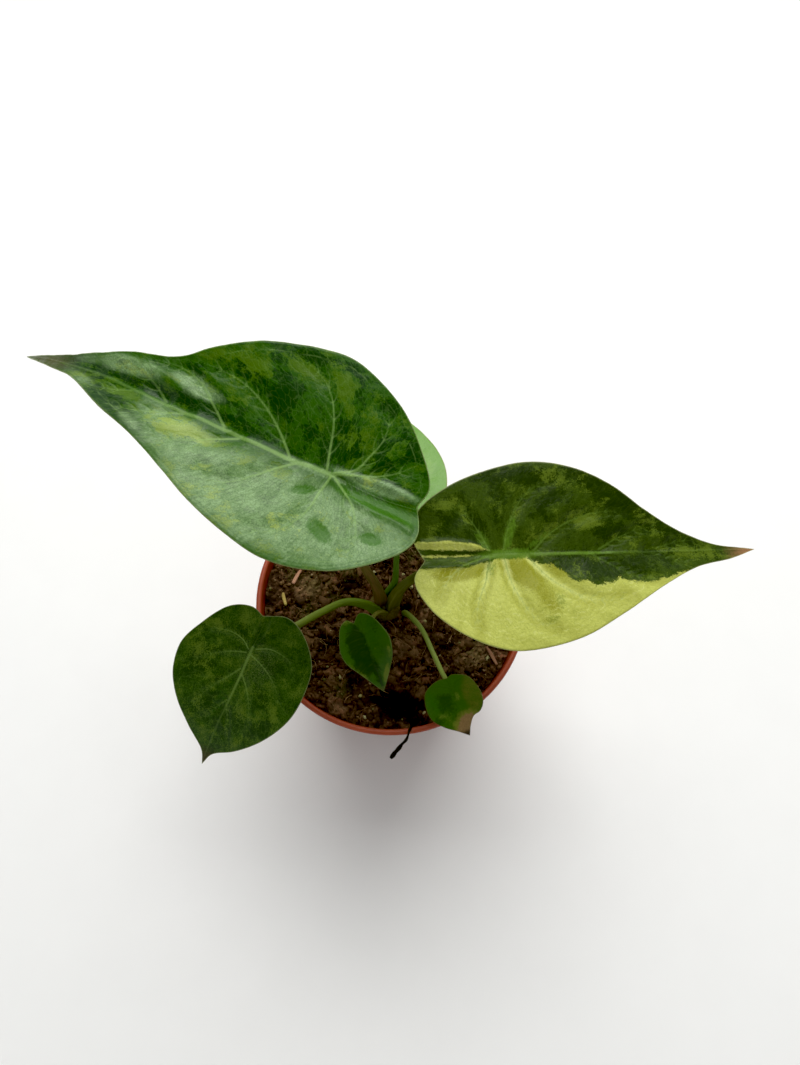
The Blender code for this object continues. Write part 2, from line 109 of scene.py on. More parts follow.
def makePiece(name, points, faces, materials, values=None, replaces=(), smooth=True, weld=0.0):
    # points in millimetres; values are numbers or vectors kept on each point for the materials
    mesh = bpy.data.meshes.new(name)
    mesh.from_pydata((np.asarray(points, float) * mm).tolist(), [], [list(map(int, f)) for f in faces])
    for key, value in (values or {}).items():
        value = np.asarray(value, np.float32)
        kind = "FLOAT" if value.ndim == 1 else "FLOAT_VECTOR"
        layer = mesh.attributes.new(key, kind, "POINT")
        layer.data.foreach_set("value" if value.ndim == 1 else "vector", value.ravel())
    if weld:
        bm = bmesh.new()
        bm.from_mesh(mesh)
        bmesh.ops.remove_doubles(bm, verts=bm.verts, dist=weld * mm)
        bm.to_mesh(mesh)
        bm.free()
    mesh.polygons.foreach_set("use_smooth", [smooth] * len(mesh.polygons))
    for material in materials:
        mesh.materials.append(material)
    piece = bpy.data.objects.new(name, mesh)
    bpy.context.scene.collection.objects.link(piece)
    keepPiece(piece, replaces)
    return piece


def keepPiece(piece, replaces=()):
    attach(piece, "root")
    if replaces:
        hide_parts(*replaces)


def sweep(route, radii, sides, shape=None):
    # a closed tube along the route; shape(turn, share) scales the radius at each point of its rings
    route = np.asarray(route, float)
    count = len(route)
    ahead = np.gradient(route, axis=0)
    ahead /= np.linalg.norm(ahead, axis=1)[:, None]
    side = np.cross(ahead[0], (0.31, 0.17, 0.93))
    turn = 2 * math.pi * np.arange(sides) / sides
    share = np.arange(count) / (count - 1)
    points = np.zeros((count, sides, 3))
    for i in range(count):
        side = side - ahead[i] * (side @ ahead[i])
        side /= np.linalg.norm(side)
        up = np.cross(ahead[i], side)
        reach = radii[i] * (np.ones(sides) if shape is None else shape(turn, share[i]))
        points[i] = route[i] + reach[:, None] * (np.cos(turn)[:, None] * side + np.sin(turn)[:, None] * up)
    points = points.reshape(-1, 3)
    faces = [list(f) for f in gridFaces(count, sides, closed=True)]
    ends = [route[0] - ahead[0] * radii[0] * 0.3, route[-1] + ahead[-1] * radii[-1] * 0.3]
    points = np.concatenate([points, ends])
    first, last = count * sides, count * sides + 1
    faces += [[(j + 1) % sides, j, first] for j in range(sides)]
    low = (count - 1) * sides
    faces += [[low + j, low + (j + 1) % sides, last] for j in range(sides)]
    along = np.concatenate([np.repeat(share, sides), [0, 1]])
    around = np.concatenate([np.tile(turn, count), [0, 0]])
    return points, faces, along, around


class Heap:
    # many small shapes gathered into one mesh
    def __init__(self):
        self.points, self.faces, self.tones, self.count = [], [], [], 0

    def add(self, points, faces, tone):
        self.faces += [[k + self.count for k in f] for f in faces]
        self.points.append(np.asarray(points, float))
        self.tones.append(np.full(len(points), tone))
        self.count += len(points)

    def piece(self, name, material, slot, smooth=True):
        return makePiece(name, np.concatenate(self.points), self.faces, [material],
                         {"tone": np.concatenate(self.tones)}, smooth=smooth)


# --- small helpers for materials


def screen(r, g, b):
    # a colour as read off a screen, 0 to 255
    return tuple(((c / 255 + 0.055) / 1.055) ** 2.4 if c > 10 else c / 255 / 12.92 for c in (r, g, b)) + (1.0,)


class Paint:
    # one material and the few node moves that all of them use
    def __init__(self, name, roughness=0.5, shine=0.5):
        self.material = bpy.data.materials.new(name)
        self.material.use_nodes = True
        self.tree = self.material.node_tree
        self.shader = self.tree.nodes["Principled BSDF"]
        self.shader.inputs["Roughness"].default_value = roughness
        self.shader.inputs["Specular IOR Level"].default_value = shine
        self.shader.inputs["Metallic"].default_value = 0.0

    def node(self, kind, inputs=None, **settings):
        made = self.tree.nodes.new("ShaderNode" + kind)
        for key, value in settings.items():
            setattr(made, key, value)
        for key, value in (inputs or {}).items():
            if isinstance(value, bpy.types.NodeSocket):
                self.tree.links.new(value, made.inputs[key])
            else:
                made.inputs[key].default_value = value
        return made

    def value(self, name):
        return self.node("Attribute", attribute_name=name).outputs["Fac"]

    def vector(self, name):
        return self.node("Attribute", attribute_name=name).outputs["Vector"]

    def where(self):
        return self.node("TexCoord").outputs["Object"]

    def stretch(self, vector, scale, shift=(0, 0, 0)):
        return self.node("Mapping", {"Vector": vector, "Scale": scale, "Location": shift}).outputs["Vector"]

    def noise(self, where, scale, detail=3.0, rough=0.55, bend=0.0):
        return self.node("TexNoise", {"Vector": where, "Scale": scale, "Detail": detail, "Roughness": rough,
                                      "Distortion": bend}).outputs["Fac"]

    def cells(self, where, scale, feature="F1", output="Distance", spread=1.0):
        return self.node("TexVoronoi", {"Vector": where, "Scale": scale, "Randomness": spread},
                         feature=feature).outputs[output]

    def bend(self, where, scale, amount):
        # the same place, pushed about so that cells get ragged outlines
        push = self.node("TexNoise", {"Vector": where, "Scale": scale, "Detail": 3.0}).outputs["Color"]
        return self.node("VectorMath", {0: push, 1: (amount, amount, 0.0), 2: where}, operation="MULTIPLY_ADD").outputs[0]

    def sum(self, a, b, operation="ADD", clamp=False):
        return self.node("Math", {0: a, 1: b}, operation=operation, use_clamp=clamp).outputs[0]

    def ramp(self, value, low, high, start=0.0, end=1.0):
        # a smooth step from low to high
        return self.node("MapRange", {"Value": value, "From Min": low, "From Max": high, "To Min": start,
                                      "To Max": end}, interpolation_type="SMOOTHSTEP").outputs["Result"]

    def mix(self, share, a, b, blend="MIX"):
        made = self.node("Mix", data_type="RGBA", blend_type=blend)
        for socket, value in ((made.inputs[0], share), (made.inputs[6], a), (made.inputs[7], b)):
            if isinstance(value, bpy.types.NodeSocket):
                self.tree.links.new(value, socket)
            else:
                socket.default_value = value
        return made.outputs[2]

    def bumps(self, height, depth, strength=1.0, under=None):
        # depth in millimetres
        inputs = {"Height": height, "Distance": depth * mm, "Strength": strength}
        if under is not None:
            inputs["Normal"] = under
        return self.node("Bump", inputs).outputs["Normal"]

    def finish(self, **sockets):
        names = dict(colour="Base Color", roughness="Roughness", normal="Normal")
        for key, value in sockets.items():
            socket = self.shader.inputs[names[key]]
            if isinstance(value, bpy.types.NodeSocket):
                self.tree.links.new(value, socket)
            else:
                socket.default_value = value
        return self.material


# --- camera, light and floor

studio = dict(
    cameraPlace=(0.0038, -0.0914, 0.374), cameraTilt=24.2, lens=21.63,
    windowPlace=(0.044, 0.704, 1.106), windowSize=(1.25, 0.95), windowPower=19.0, windowAim=(-0.03, 0.0, 0.2),
    fillPlace=(0.0, -0.4, 1.7), fillSize=(2.4, 2.0), fillPower=13.0,
    horizon=(0.86, 0.87, 0.88), overhead=(0.035, 0.04, 0.045), skyStrength=1.0, blackLevel=0.006,
    floorColour=(0.88, 0.88, 0.87),
)


def aimAt(obj, target):
    obj.rotation_euler = (Vector(target) - obj.location).to_track_quat("-Z", "Y").to_euler()


def areaLight(name, place, size, power, colour, target=(0, 0, 0.15)):
    data = bpy.data.lights.new(name, "AREA")
    data.energy = power
    data.color = colour
    data.shape = "RECTANGLE"
    data.size, data.size_y = size
    light = bpy.data.objects.new(name, data)
    bpy.context.scene.collection.objects.link(light)
    light.location = place
    aimAt(light, target)
    return light


def makeStudio():
    data = bpy.data.cameras.new("camera")
    data.lens = studio["lens"]
    data.sensor_width = 36.0
    data.clip_start, data.clip_end = 0.01, 50.0
    camera = bpy.data.objects.new("camera", data)
    bpy.context.scene.collection.objects.link(camera)
    camera.location = studio["cameraPlace"]
    camera.rotation_euler = (math.radians(studio["cameraTilt"]), 0.0, 0.0)
    bpy.context.scene.camera = camera
    areaLight("window", studio["windowPlace"], studio["windowSize"], studio["windowPower"], (1.0, 1.0, 0.98),
              studio["windowAim"])
    fill = areaLight("fill", studio["fillPlace"], studio["fillSize"], studio["fillPower"], (1.0, 0.99, 0.97))
    fill.visible_glossy = False  # a lit ceiling would lay a haze on the dark leaves
    world = bpy.data.worlds.new("sky")
    world.use_nodes = True
    tree = world.node_tree
    tree.nodes["Background"].inputs["Strength"].default_value = studio["skyStrength"]
    where, height = tree.nodes.new("ShaderNodeTexCoord"), tree.nodes.new("ShaderNodeSeparateXYZ")
    ramp = tree.nodes.new("ShaderNodeValToRGB")
    ramp.color_ramp.interpolation = "EASE"
    for element, spot, colour in zip(ramp.color_ramp.elements, (0.08, 0.55), (studio["horizon"], studio["overhead"])):
        element.position, element.color = spot, (*colour, 1.0)
    tree.links.new(where.outputs["Generated"], height.inputs[0])
    tree.links.new(height.outputs["Z"], ramp.inputs[0])
    tree.links.new(ramp.outputs["Color"], tree.nodes["Background"].inputs["Color"])
    bpy.context.scene.world = world
    view = bpy.context.scene.view_settings
    view.view_transform = "Standard"
    view.use_curve_mapping = True
    view.curve_mapping.black_level = (studio["blackLevel"],) * 3  # a phone's deep shadows
    view.curve_mapping.update()
    mesh = bpy.data.meshes.new("floor")
    mesh.from_pydata([(-8, -8, 0), (8, -8, 0), (8, 8, 0), (-8, 8, 0)], [], [(0, 1, 2, 3)])
    floor = bpy.data.objects.new("floor", mesh)
    bpy.context.scene.collection.objects.link(floor)
    floor.location = (0, 0, -0.0002)
    paint = Paint("paleFloor", roughness=0.7, shine=0.2)
    grain = paint.noise(paint.where(), 40.0, 2.0)
    tone = tuple(0.97 * c for c in studio["floorColour"]) + (1.0,)
    mesh.materials.append(paint.finish(colour=paint.mix(grain, (*studio["floorColour"], 1.0), tone)))
    print("studio: camera, window, fill and floor")


makeStudio()


# --- pot

pot = dict(
    rimRadius=60.0, lipWidth=2.4, lipPoints=9, collarHeight=12.0, collarTaper=1.5, collarStep=1.2,
    collarSlope=1.5, baseRadius=42.5, baseChamfer=1.5, wall=1.6, floor=2.2, turns=144,
    drainCount=6, drainRadius=3.5, drainCircle=29.0, drainStart=10.0,
    clay=screen(142, 54, 27), clayDark=screen(116, 40, 20), clayPale=screen(176, 92, 58),
    dust=screen(104, 78, 52),
)


def potOutside(height):
    share = height / (rimHeight - pot["collarHeight"])
    return pot["baseRadius"] + (pot["rimRadius"] - pot["collarTaper"] - pot["collarStep"] - pot["baseRadius"]) * share


def potInside():
    step = rimHeight - pot["collarHeight"]
    return [
        (potOutside(pot["floor"]) - pot["wall"] - pot["baseChamfer"], pot["floor"]),
        (potOutside(pot["floor"] + pot["baseChamfer"]) - pot["wall"], pot["floor"] + pot["baseChamfer"]),
        (potOutside(step) - pot["wall"], step - pot["collarSlope"]),
        (pot["rimRadius"] - pot["collarTaper"] - pot["wall"], step + pot["collarSlope"]),
        (pot["rimRadius"] - pot["lipWidth"], rimHeight - pot["lipWidth"]),
    ]


def potMaterial():
    paint = Paint("terracottaPlastic", roughness=0.42, shine=0.35)
    where = paint.where()
    cloud = paint.noise(where, 26.0, 4.0, 0.6)
    colour = paint.mix(paint.ramp(cloud, 0.3, 0.8, 0.1, 0.55), pot["clay"], pot["clayDark"])
    height = paint.node("SeparateXYZ", {0: where}).outputs["Z"]
    # paler clay in fine flecks on the rim's top: partly wear, partly a painted highlight on the lit top
    rimWearAndHighlight = paint.sum(paint.ramp(height, 0.1022, 0.1040), paint.noise(where, 160.0, 5.0, 0.7), "MULTIPLY")
    colour = paint.mix(paint.sum(rimWearAndHighlight, 0.55, "MULTIPLY"), colour, pot["clayPale"])
    specks = paint.ramp(paint.noise(where, 420.0, 3.0, 0.6), 0.62, 0.72)
    colour = paint.mix(paint.sum(specks, 0.45, "MULTIPLY"), colour, pot["dust"])
    rings = paint.noise(paint.stretch(where, (6.0, 6.0, 900.0)), 1.0, 2.0)
    normal = paint.bumps(rings, 0.05, 0.5)
    normal = paint.bumps(paint.noise(where, 900.0, 3.0), 0.04, 0.6, normal)
    rough = paint.ramp(paint.noise(where, 70.0, 4.0), 0.3, 0.75, 0.34, 0.58)
    return paint.finish(colour=colour, roughness=rough, normal=normal)


def makePot():
    step = rimHeight - pot["collarHeight"]
    half = pot["lipWidth"] / 2
    lip = []
    for i in range(pot["lipPoints"] + 1):
        angle = math.pi * (1 - i / pot["lipPoints"])
        lip.append((pot["rimRadius"] - half + half * math.cos(angle), rimHeight - half + half * math.sin(angle)))
    outside = [
        (pot["rimRadius"] - 0.25, rimHeight - pot["lipWidth"]),
        (pot["rimRadius"] - pot["collarTaper"] + 0.1, step + 0.3),
        (pot["rimRadius"] - pot["collarTaper"] - 0.2, step),
        (pot["rimRadius"] - pot["collarTaper"] - pot["collarStep"], step - pot["collarSlope"]),
    ]
    outside += [(potOutside(z), z) for z in np.linspace(step - 8, pot["baseChamfer"], 10)]
    outside += [(pot["baseRadius"] - 0.5 * pot["baseChamfer"], 0.3), (pot["baseRadius"] - pot["baseChamfer"], 0.0)]
    profile = np.array([(0.0, pot["floor"]), (14.0, pot["floor"])] + potInside() + lip + outside + [(14.0, 0.0), (0.0, 0.0)])
    turn = 2 * math.pi * np.arange(pot["turns"]) / pot["turns"]
    points = np.stack([profile[:, :1] * np.cos(turn), profile[:, :1] * np.sin(turn),
                       np.repeat(profile[:, 1:], pot["turns"], 1)], -1).reshape(-1, 3)
    faces = gridFaces(len(profile), pot["turns"], closed=True)[:, ::-1]
    shell = makePiece("potShell", points, faces, [potMaterial()], replaces=["pot"], weld=0.001)
    cutters = []
    for i in range(pot["drainCount"]):
        angle = 2 * math.pi * i / pot["drainCount"] + math.radians(pot["drainStart"])
        bpy.ops.mesh.primitive_cylinder_add(
            vertices=32, radius=pot["drainRadius"] * mm, depth=4 * pot["floor"] * mm,
            location=(pot["drainCircle"] * mm * math.cos(angle), pot["drainCircle"] * mm * math.sin(angle), 0))
        cutters.append(bpy.context.object)
        hole = shell.modifiers.new("drain", "BOOLEAN")
        hole.operation, hole.solver, hole.object = "DIFFERENCE", "EXACT", cutters[-1]
    graph = bpy.context.evaluated_depsgraph_get()
    cutMesh = bpy.data.meshes.new_from_object(shell.evaluated_get(graph), depsgraph=graph)
    shell.modifiers.clear()
    shell.data = cutMesh
    for cutter in cutters:
        bpy.data.objects.remove(cutter, do_unlink=True)
    cutMesh.shade_smooth()
    cutMesh.set_sharp_from_angle(angle=math.radians(40))
    print("pot: turned with", pot["turns"], "steps")


makePot()


# --- soil

soil = dict(
    drop=7.0, bumpHeight=1.3, bumpLength=9.0, hollowPlace=(4.0, -44.0), hollowDepth=6.5, hollowSpread=8.5,
    bankSide=176.0, bankHeight=3.0, bankWidth=7.0, grid=236, gap=0.3,
    clodSize=7.5, clodHeight=2.0, lumpSize=2.9, lumpHeight=1.3, grainHeight=0.7,
    dark=screen(42, 28, 17), brown=screen(128, 97, 65), rust=screen(136, 92, 66), grey=screen(154, 134, 100),
    # on the next line, the hollow's colour and the colour after it are painted shade: near black in the hollow, shadow
    # under leaves and stalks
    hollowColour=screen(11, 8, 6), paintedShadow=screen(22, 16, 10), dry=screen(158, 128, 92), mossColour=screen(92, 90, 46),
    mossPatches=[(-34, 9, 10), (-20, 16, 8), (36, -24, 8), (-38, -6, 6), (12, 22, 8), (-22, -40, 6), (46, -14, 5),
                 (-28, -2, 7), (-44, 12, 6)],
    # shades: x, y, length, width, turn, strength; below 0 is painted shadow under the leaves, stalks and wall, above 0
    # dry and pale
    shades=[(-19, 8, 7, 5, 10, -1), (-30.5, -20, 6, 4.5, 20, -0.9), (-17, -35, 4, 5, 0, -0.9), (8, -5, 7, 3.5, -30, -0.8),
            (25, -23, 5, 3.5, -20, -0.9), (-4, 17, 6, 5, 0, -0.8), (8, -52, 9, 4, -10, -1), (-8, -44, 7, 4, 0, -0.9),
            (-55, -4, 3, 14, 0, -0.5), (18, -38, 5, 4, 30, -0.6), (-38, 7, 9, 6, 15, 0.9), (14, -8, 5, 4, -20, 0.9),
            (35, -26, 8, 5, 15, 0.9), (5, -21, 6, 6, 0, 0.6), (-24, -46, 6, 4, -30, 0.5), (-23, -4, 7, 3, 10, 0.4),
            (45, -12, 6, 8, 0, 0.4), (20, 30, 9, 7, 0, 0.4), (-20, 38, 8, 6, 0, 0.4), (0, 48, 12, 4, 0, -0.5)],
)


def baseSoilHeight(x, y):
    away = math.hypot(x - soil["hollowPlace"][0], y - soil["hollowPlace"][1]) / soil["hollowSpread"]
    length = soil["bumpLength"]
    bumps = noise.noise(Vector((x / length, y / length, 0.5)))
    bumps += 0.5 * noise.noise(Vector((2.3 * x / length, 2.3 * y / length, 4.5)))
    return rimHeight - soil["drop"] + soil["bumpHeight"] * bumps - soil["hollowDepth"] * math.exp(-away * away)


def bank(x, y):
    # the soil is heaped against the wall on one side
    side = math.radians(soil["bankSide"])
    facing = max(0.0, (x * math.cos(side) + y * math.sin(side)) / (math.hypot(x, y) + 1e-6))
    gap = max(0.0, 56.8 - math.hypot(x, y)) / soil["bankWidth"]
    return soil["bankHeight"] * facing ** 2 * math.exp(-gap * gap)


def soilHeight(x, y):
    # the solid's surface with clods and grains on it
    place = Vector((x / soil["clodSize"], y / soil["clodSize"], 1.7))
    bend = noise.noise_vector(place * 1.3) * 0.5
    near = noise.voronoi(place + bend)[0]
    clod = min(1.0, (near[1] - near[0]) * 1.8)
    place = Vector((x / soil["lumpSize"], y / soil["lumpSize"], 5.2))
    near = noise.voronoi(place + noise.noise_vector(place * 1.7) * 0.5)[0]
    lumps = min(1.0, (near[1] - near[0]) * 1.5)
    grains = noise.fractal(Vector((x / 1.4, y / 1.4, 8.1)), 0.8, 2.3, 5)
    return (baseSoilHeight(x, y) + bank(x, y) + soil["clodHeight"] * (clod - 0.6) + soil["lumpHeight"] * (lumps - 0.5)
            + soil["grainHeight"] * grains)


def mossShare(x, y):
    return max(math.exp(-((math.hypot(x - px, y - py) / size) ** 2)) for px, py, size in soil["mossPatches"])


def hollowShare(x, y):
    # ragged, longer towards the left and the wall
    ragged = 1 + 0.5 * noise.noise(Vector((x / 4.0, y / 4.0, 3.3)))
    away = math.hypot((x - soil["hollowPlace"][0] + 2.0) / 11.5, (y - soil["hollowPlace"][1] + 1.5) / 7.5) * ragged
    return math.exp(-(away ** 3))


def soilShade(x, y):
    total = 0.35 * noise.noise(Vector((x / 7.0, y / 7.0, 6.4)))
    for px, py, long, wide, turn, strength in soil["shades"]:
        a = math.radians(turn)
        dx, dy = x - px, y - py
        away = math.hypot((dx * math.cos(a) + dy * math.sin(a)) / long, (dy * math.cos(a) - dx * math.sin(a)) / wide)
        total += strength * math.exp(-(away ** 2.5))
    return max(-1.0, min(1.0, total))


def soilMaterial():
    paint = Paint("pottingSoil", roughness=0.95, shine=0.1)
    where = paint.where()
    height = paint.value("height")
    clod = paint.noise(where, 230.0, 6.0, 0.7, 0.4)
    grain = paint.noise(where, 1300.0, 4.0, 0.75)
    threads = paint.noise(paint.stretch(where, (500.0, 1700.0, 600.0)), 1.0, 4.0, 0.7, 2.5)
    colour = paint.mix(paint.ramp(clod, 0.38, 0.66), soil["dark"], soil["brown"])
    colour = paint.mix(paint.ramp(paint.noise(where, 120.0, 4.0, 0.6, 0.6), 0.5, 0.68, 0.0, 0.8), colour, soil["rust"])
    colour = paint.mix(paint.ramp(grain, 0.58, 0.78, 0.0, 0.55), colour, soil["grey"])
    colour = paint.mix(paint.ramp(threads, 0.6, 0.72, 0.0, 0.5), colour, soil["rust"])
    # painted shade in the low spots between the clods
    colour = paint.mix(paint.ramp(height, -1.6, 0.2, 0.9, 0.0), colour, soil["dark"])
    shade = paint.sum(paint.value("shade"), paint.sum(paint.sum(clod, 0.5, "SUBTRACT"), 1.2, "MULTIPLY"))
    colour = paint.mix(paint.ramp(shade, 0.1, 0.9, 0.0, 0.5), colour, soil["dry"])
    # painted shadow where the shade marks fall below 0
    colour = paint.mix(paint.ramp(shade, -0.1, -0.8, 0.0, 0.85), colour, soil["paintedShadow"])
    moss = paint.sum(paint.value("moss"), paint.noise(where, 520.0, 5.0, 0.7), "MULTIPLY")
    colour = paint.mix(paint.ramp(moss, 0.2, 0.55, 0.0, 0.5), colour, soil["mossColour"])
    # painted shade: the soil in the hollow is coloured near black
    hollowShade = paint.sum(paint.value("hollow"), paint.sum(paint.noise(where, 160.0, 4.0, 0.65), 0.5, "SUBTRACT"))
    colour = paint.mix(paint.ramp(hollowShade, 0.15, 0.75, 0.0, 0.9), colour, soil["hollowColour"])
    normal = paint.bumps(grain, 0.35, 0.9)
    return paint.finish(colour=colour, normal=normal)


def makeSoil():
    count = soil["grid"]
    u, v = np.meshgrid(np.linspace(-1, 1, count), np.linspace(-1, 1, count), indexing="ij")
    edge = pot["rimRadius"] - pot["collarTaper"] - pot["wall"] - 0.05
    x = (edge * u * np.sqrt(1 - v * v / 2)).ravel()
    y = (edge * v * np.sqrt(1 - u * u / 2)).ravel()
    base = np.array([baseSoilHeight(a, b) + bank(a, b) for a, b in zip(x, y)])
    z = np.array([soilHeight(a, b) for a, b in zip(x, y)])
    points = np.stack([x, y, z], 1)
    faces = [list(f) for f in gridFaces(count, count)]
    index = np.arange(count * count).reshape(count, count)
    border = np.concatenate([index[0, :-1], index[:-1, -1], index[-1, :0:-1], index[:0:-1, 0]])
    turn = np.arctan2(y[border], x[border])
    rings = [(r - soil["gap"], h) for r, h in reversed(potInside()[:4])]
    rings[0] = (rings[0][0], rings[0][1] - 2.0)
    extra, last = [points], border
    total = len(points)
    for radius, height in rings:
        extra.append(np.stack([radius * np.cos(turn), radius * np.sin(turn), np.full(len(turn), height)], 1))
        ring = total + np.arange(len(turn))
        faces += [[last[i], last[(i + 1) % len(ring)], ring[(i + 1) % len(ring)], ring[i]] for i in range(len(ring))]
        total += len(ring)
        last = ring
    faces.append([int(i) for i in last])
    points = np.concatenate(extra)
    marks = {key: np.zeros(len(points)) for key in ("moss", "hollow", "height", "shade")}
    marks["shade"][: len(x)] = [soilShade(a, b) for a, b in zip(x, y)]
    marks["moss"][: len(x)] = [mossShare(a, b) for a, b in zip(x, y)]
    marks["hollow"][: len(x)] = [hollowShare(a, b) for a, b in zip(x, y)]
    marks["height"][: len(x)] = z - base
    makePiece("soilSurface", points, faces, [soilMaterial()], marks, replaces=["soil"])
    print("soil: surface of", len(points), "points")


makeSoil()


# --- crumbs, fibres, perlite and moss on the soil

litter = dict(
    crumbs=3800, crumbSize=(0.2, 0.8), clods=430, clodSize=(1.0, 3.4),
    grains=60, grainSize=(0.2, 0.5), fibres=620, fibreLength=(2.5, 11.0), fibreRadius=(0.06, 0.17),
    mossTufts=800, reach=55.6,
    perlite=[(-55, 4, 0.8), (42, -27, 1.0), (-29, -36, 0.9), (-22, -35, 0.7), (-13, -43, 0.9), (-11, -52, 0.7),
             (14, -50, 0.7), (5, 12, 0.8), (9, 6, 1.0), (-8, 13, 0.7), (-15, 12, 0.6), (15, -10, 0.9), (30, -20, 0.7),
             (-27, 20, 0.7), (24, -30, 0.6), (-42, -2, 0.6)],
)


def roundShape(level):
    bm = bmesh.new()
    bmesh.ops.create_icosphere(bm, subdivisions=level, radius=1.0)
    points = np.array([v.co for v in bm.verts])
    faces = [[v.index for v in f.verts] for f in bm.faces]
    bm.free()
    return points, faces


def randomTurn(rng):
    return np.array(Euler((rng.uniform(0, 6.3), rng.uniform(0, 6.3), rng.uniform(0, 6.3))).to_matrix())


def lump(rng, shape, size, stretch=(1.0, 1.0, 1.0), rough=0.35):
    points, faces = shape
    shift = Vector((rng.uniform(-50, 50), rng.uniform(-50, 50), rng.uniform(-50, 50)))
    push = np.array([1 + rough * noise.noise(Vector(p) * 1.6 + shift) * 2 for p in points])
    return (points * push[:, None] * np.array(stretch) * size) @ randomTurn(rng).T, faces


def randomPlace(rng, reach):
    radius = reach * math.sqrt(rng.random())
    angle = rng.uniform(0, 2 * math.pi)
    return radius * math.cos(angle), radius * math.sin(angle)


def litterMaterial(name, low, middle, high, roughness=0.9, grainScale=1300.0):
    paint = Paint(name, roughness=roughness, shine=0.12)
    where = paint.where()
    tone = paint.value("tone")
    grain = paint.noise(where, grainScale, 4.0, 0.7)
    colour = paint.mix(paint.ramp(tone, 0.0, 0.55), low, middle)
    colour = paint.mix(paint.ramp(tone, 0.55, 1.0), colour, high)
    colour = paint.mix(paint.ramp(grain, 0.4, 0.72, 0.0, 0.65), colour, low)
    return paint.finish(colour=colour, normal=paint.bumps(grain, 0.25, 0.8))


def makeLitter():
    rng = random.Random(7)
    fine, coarse = roundShape(1), roundShape(2)
    crumbs = Heap()
    for _ in range(litter["crumbs"]):
        x, y = randomPlace(rng, litter["reach"])
        size = rng.uniform(*litter["crumbSize"]) * (0.6 + 0.4 * rng.random())
        points, faces = lump(rng, fine, size, (1, rng.uniform(0.5, 1), rng.uniform(0.4, 0.9)), 0.55)
        # painted shade: crumbs darken in the hollow and in the shadow patches
        tone = rng.random() ** 1.5 * (1 - hollowShare(x, y)) ** 2 * (1 + min(0.0, soilShade(x, y)))
        crumbs.add(points + (x, y, soilHeight(x, y) + 0.2 * size), faces, tone)
    for _ in range(litter["clods"]):
        x, y = randomPlace(rng, litter["reach"] - 2)
        if hollowShare(x, y) > 0.4:
            continue
        size = rng.uniform(*litter["clodSize"]) * rng.uniform(0.4, 1.0)
        points, faces = lump(rng, coarse, size, (1.3, rng.uniform(0.6, 1), rng.uniform(0.4, 0.8)), 0.7)
        # clods darken in the painted shadow patches and lighten in the pale ones
        tone = max(0.0, rng.uniform(0.1, 0.6) + 0.35 * soilShade(x, y))
        crumbs.add(points + (x, y, soilHeight(x, y) - 0.25 * size), faces, tone)
    material = litterMaterial("soilCrumbs", screen(40, 28, 17), screen(110, 84, 54), screen(158, 136, 100))
    crumbs.piece("soilCrumbs", material, "soil")

    perlite = Heap()
    spots = list(litter["perlite"])
    for _ in range(litter["grains"]):
        x, y = randomPlace(rng, litter["reach"] - 1)
        if hollowShare(x, y) < 0.3:
            spots.append((x, y, rng.uniform(*litter["grainSize"])))
    for x, y, size in spots:
        points, faces = lump(rng, coarse, size, (1, rng.uniform(0.6, 1), rng.uniform(0.6, 1)), 0.6)
        perlite.add(points + (x, y, soilHeight(x, y) + 0.35 * size), faces, rng.random())
    perlite.piece("perliteGrains", litterMaterial(
        "perliteGrains", screen(104, 100, 56), screen(150, 144, 92), screen(200, 194, 148), 0.8), "soil")

    fibres = Heap()
    for _ in range(litter["fibres"]):
        x, y = randomPlace(rng, litter["reach"] - 3)
        if hollowShare(x, y) > 0.35:
            continue
        length = rng.uniform(*litter["fibreLength"])
        heading, bend = rng.uniform(0, 6.3), rng.uniform(-0.25, 0.25)
        rise = rng.uniform(-0.5, 0.9)
        route = []
        for i in range(7):
            t = i / 6
            route.append((x, y, soilHeight(x, y) + 0.35 + rise * math.sin(math.pi * t)))
            heading += bend + rng.uniform(-0.3, 0.3)
            x += math.cos(heading) * length / 6
            y += math.sin(heading) * length / 6
            away = math.hypot(x, y)
            if away > litter["reach"]:
                x, y = x * litter["reach"] / away, y * litter["reach"] / away
        radius = rng.uniform(*litter["fibreRadius"])
        route = smoothLine(route, 2)
        radii = radius * (0.35 + 0.65 * np.sin(np.linspace(0.25, math.pi - 0.25, len(route))))
        points, faces, _, _ = sweep(route, radii, 4)
        fibres.add(points, faces, rng.random())
    fibres.piece("soilFibres", litterMaterial(
        "soilFibres", screen(54, 37, 22), screen(120, 84, 54), screen(166, 134, 94), 0.85), "soil")

    moss = Heap()
    for _ in range(litter["mossTufts"]):
        px, py, size = rng.choice(soil["mossPatches"])
        angle, radius = rng.uniform(0, 6.3), size * math.sqrt(rng.random())
        x, y = px + radius * math.cos(angle), py + radius * math.sin(angle)
        if math.hypot(x, y) > litter["reach"]:
            continue
        foot = np.array((x, y, soilHeight(x, y) - 0.1))
        lean = np.array((rng.uniform(-0.5, 0.5), rng.uniform(-0.5, 0.5), rng.uniform(0.3, 0.9)))
        route = [foot, foot + lean * 0.5, foot + lean * 0.9 + (0, 0, 0.1)]
        points, faces, _, _ = sweep(route, [0.13, 0.17, 0.04], 4)
        moss.add(points, faces, rng.random())
    moss.piece("mossTufts", litterMaterial(
        "mossTufts", screen(34, 38, 12), screen(70, 76, 28), screen(118, 120, 54), 0.85), "soil")
    print("litter: crumbs, perlite, fibres and moss")


makeLitter()


# --- leaves

bladeForm = dict(valleyRounding=2.0, lobeShare=0.3, lobePower=2.2, frontPower=1.35, rowPower=1.2, ribBend=0.12,
                 ribCrease=0.4, midribShare=0.2, midribTaper=0.8, waveShift=0.2, marginRound=12)

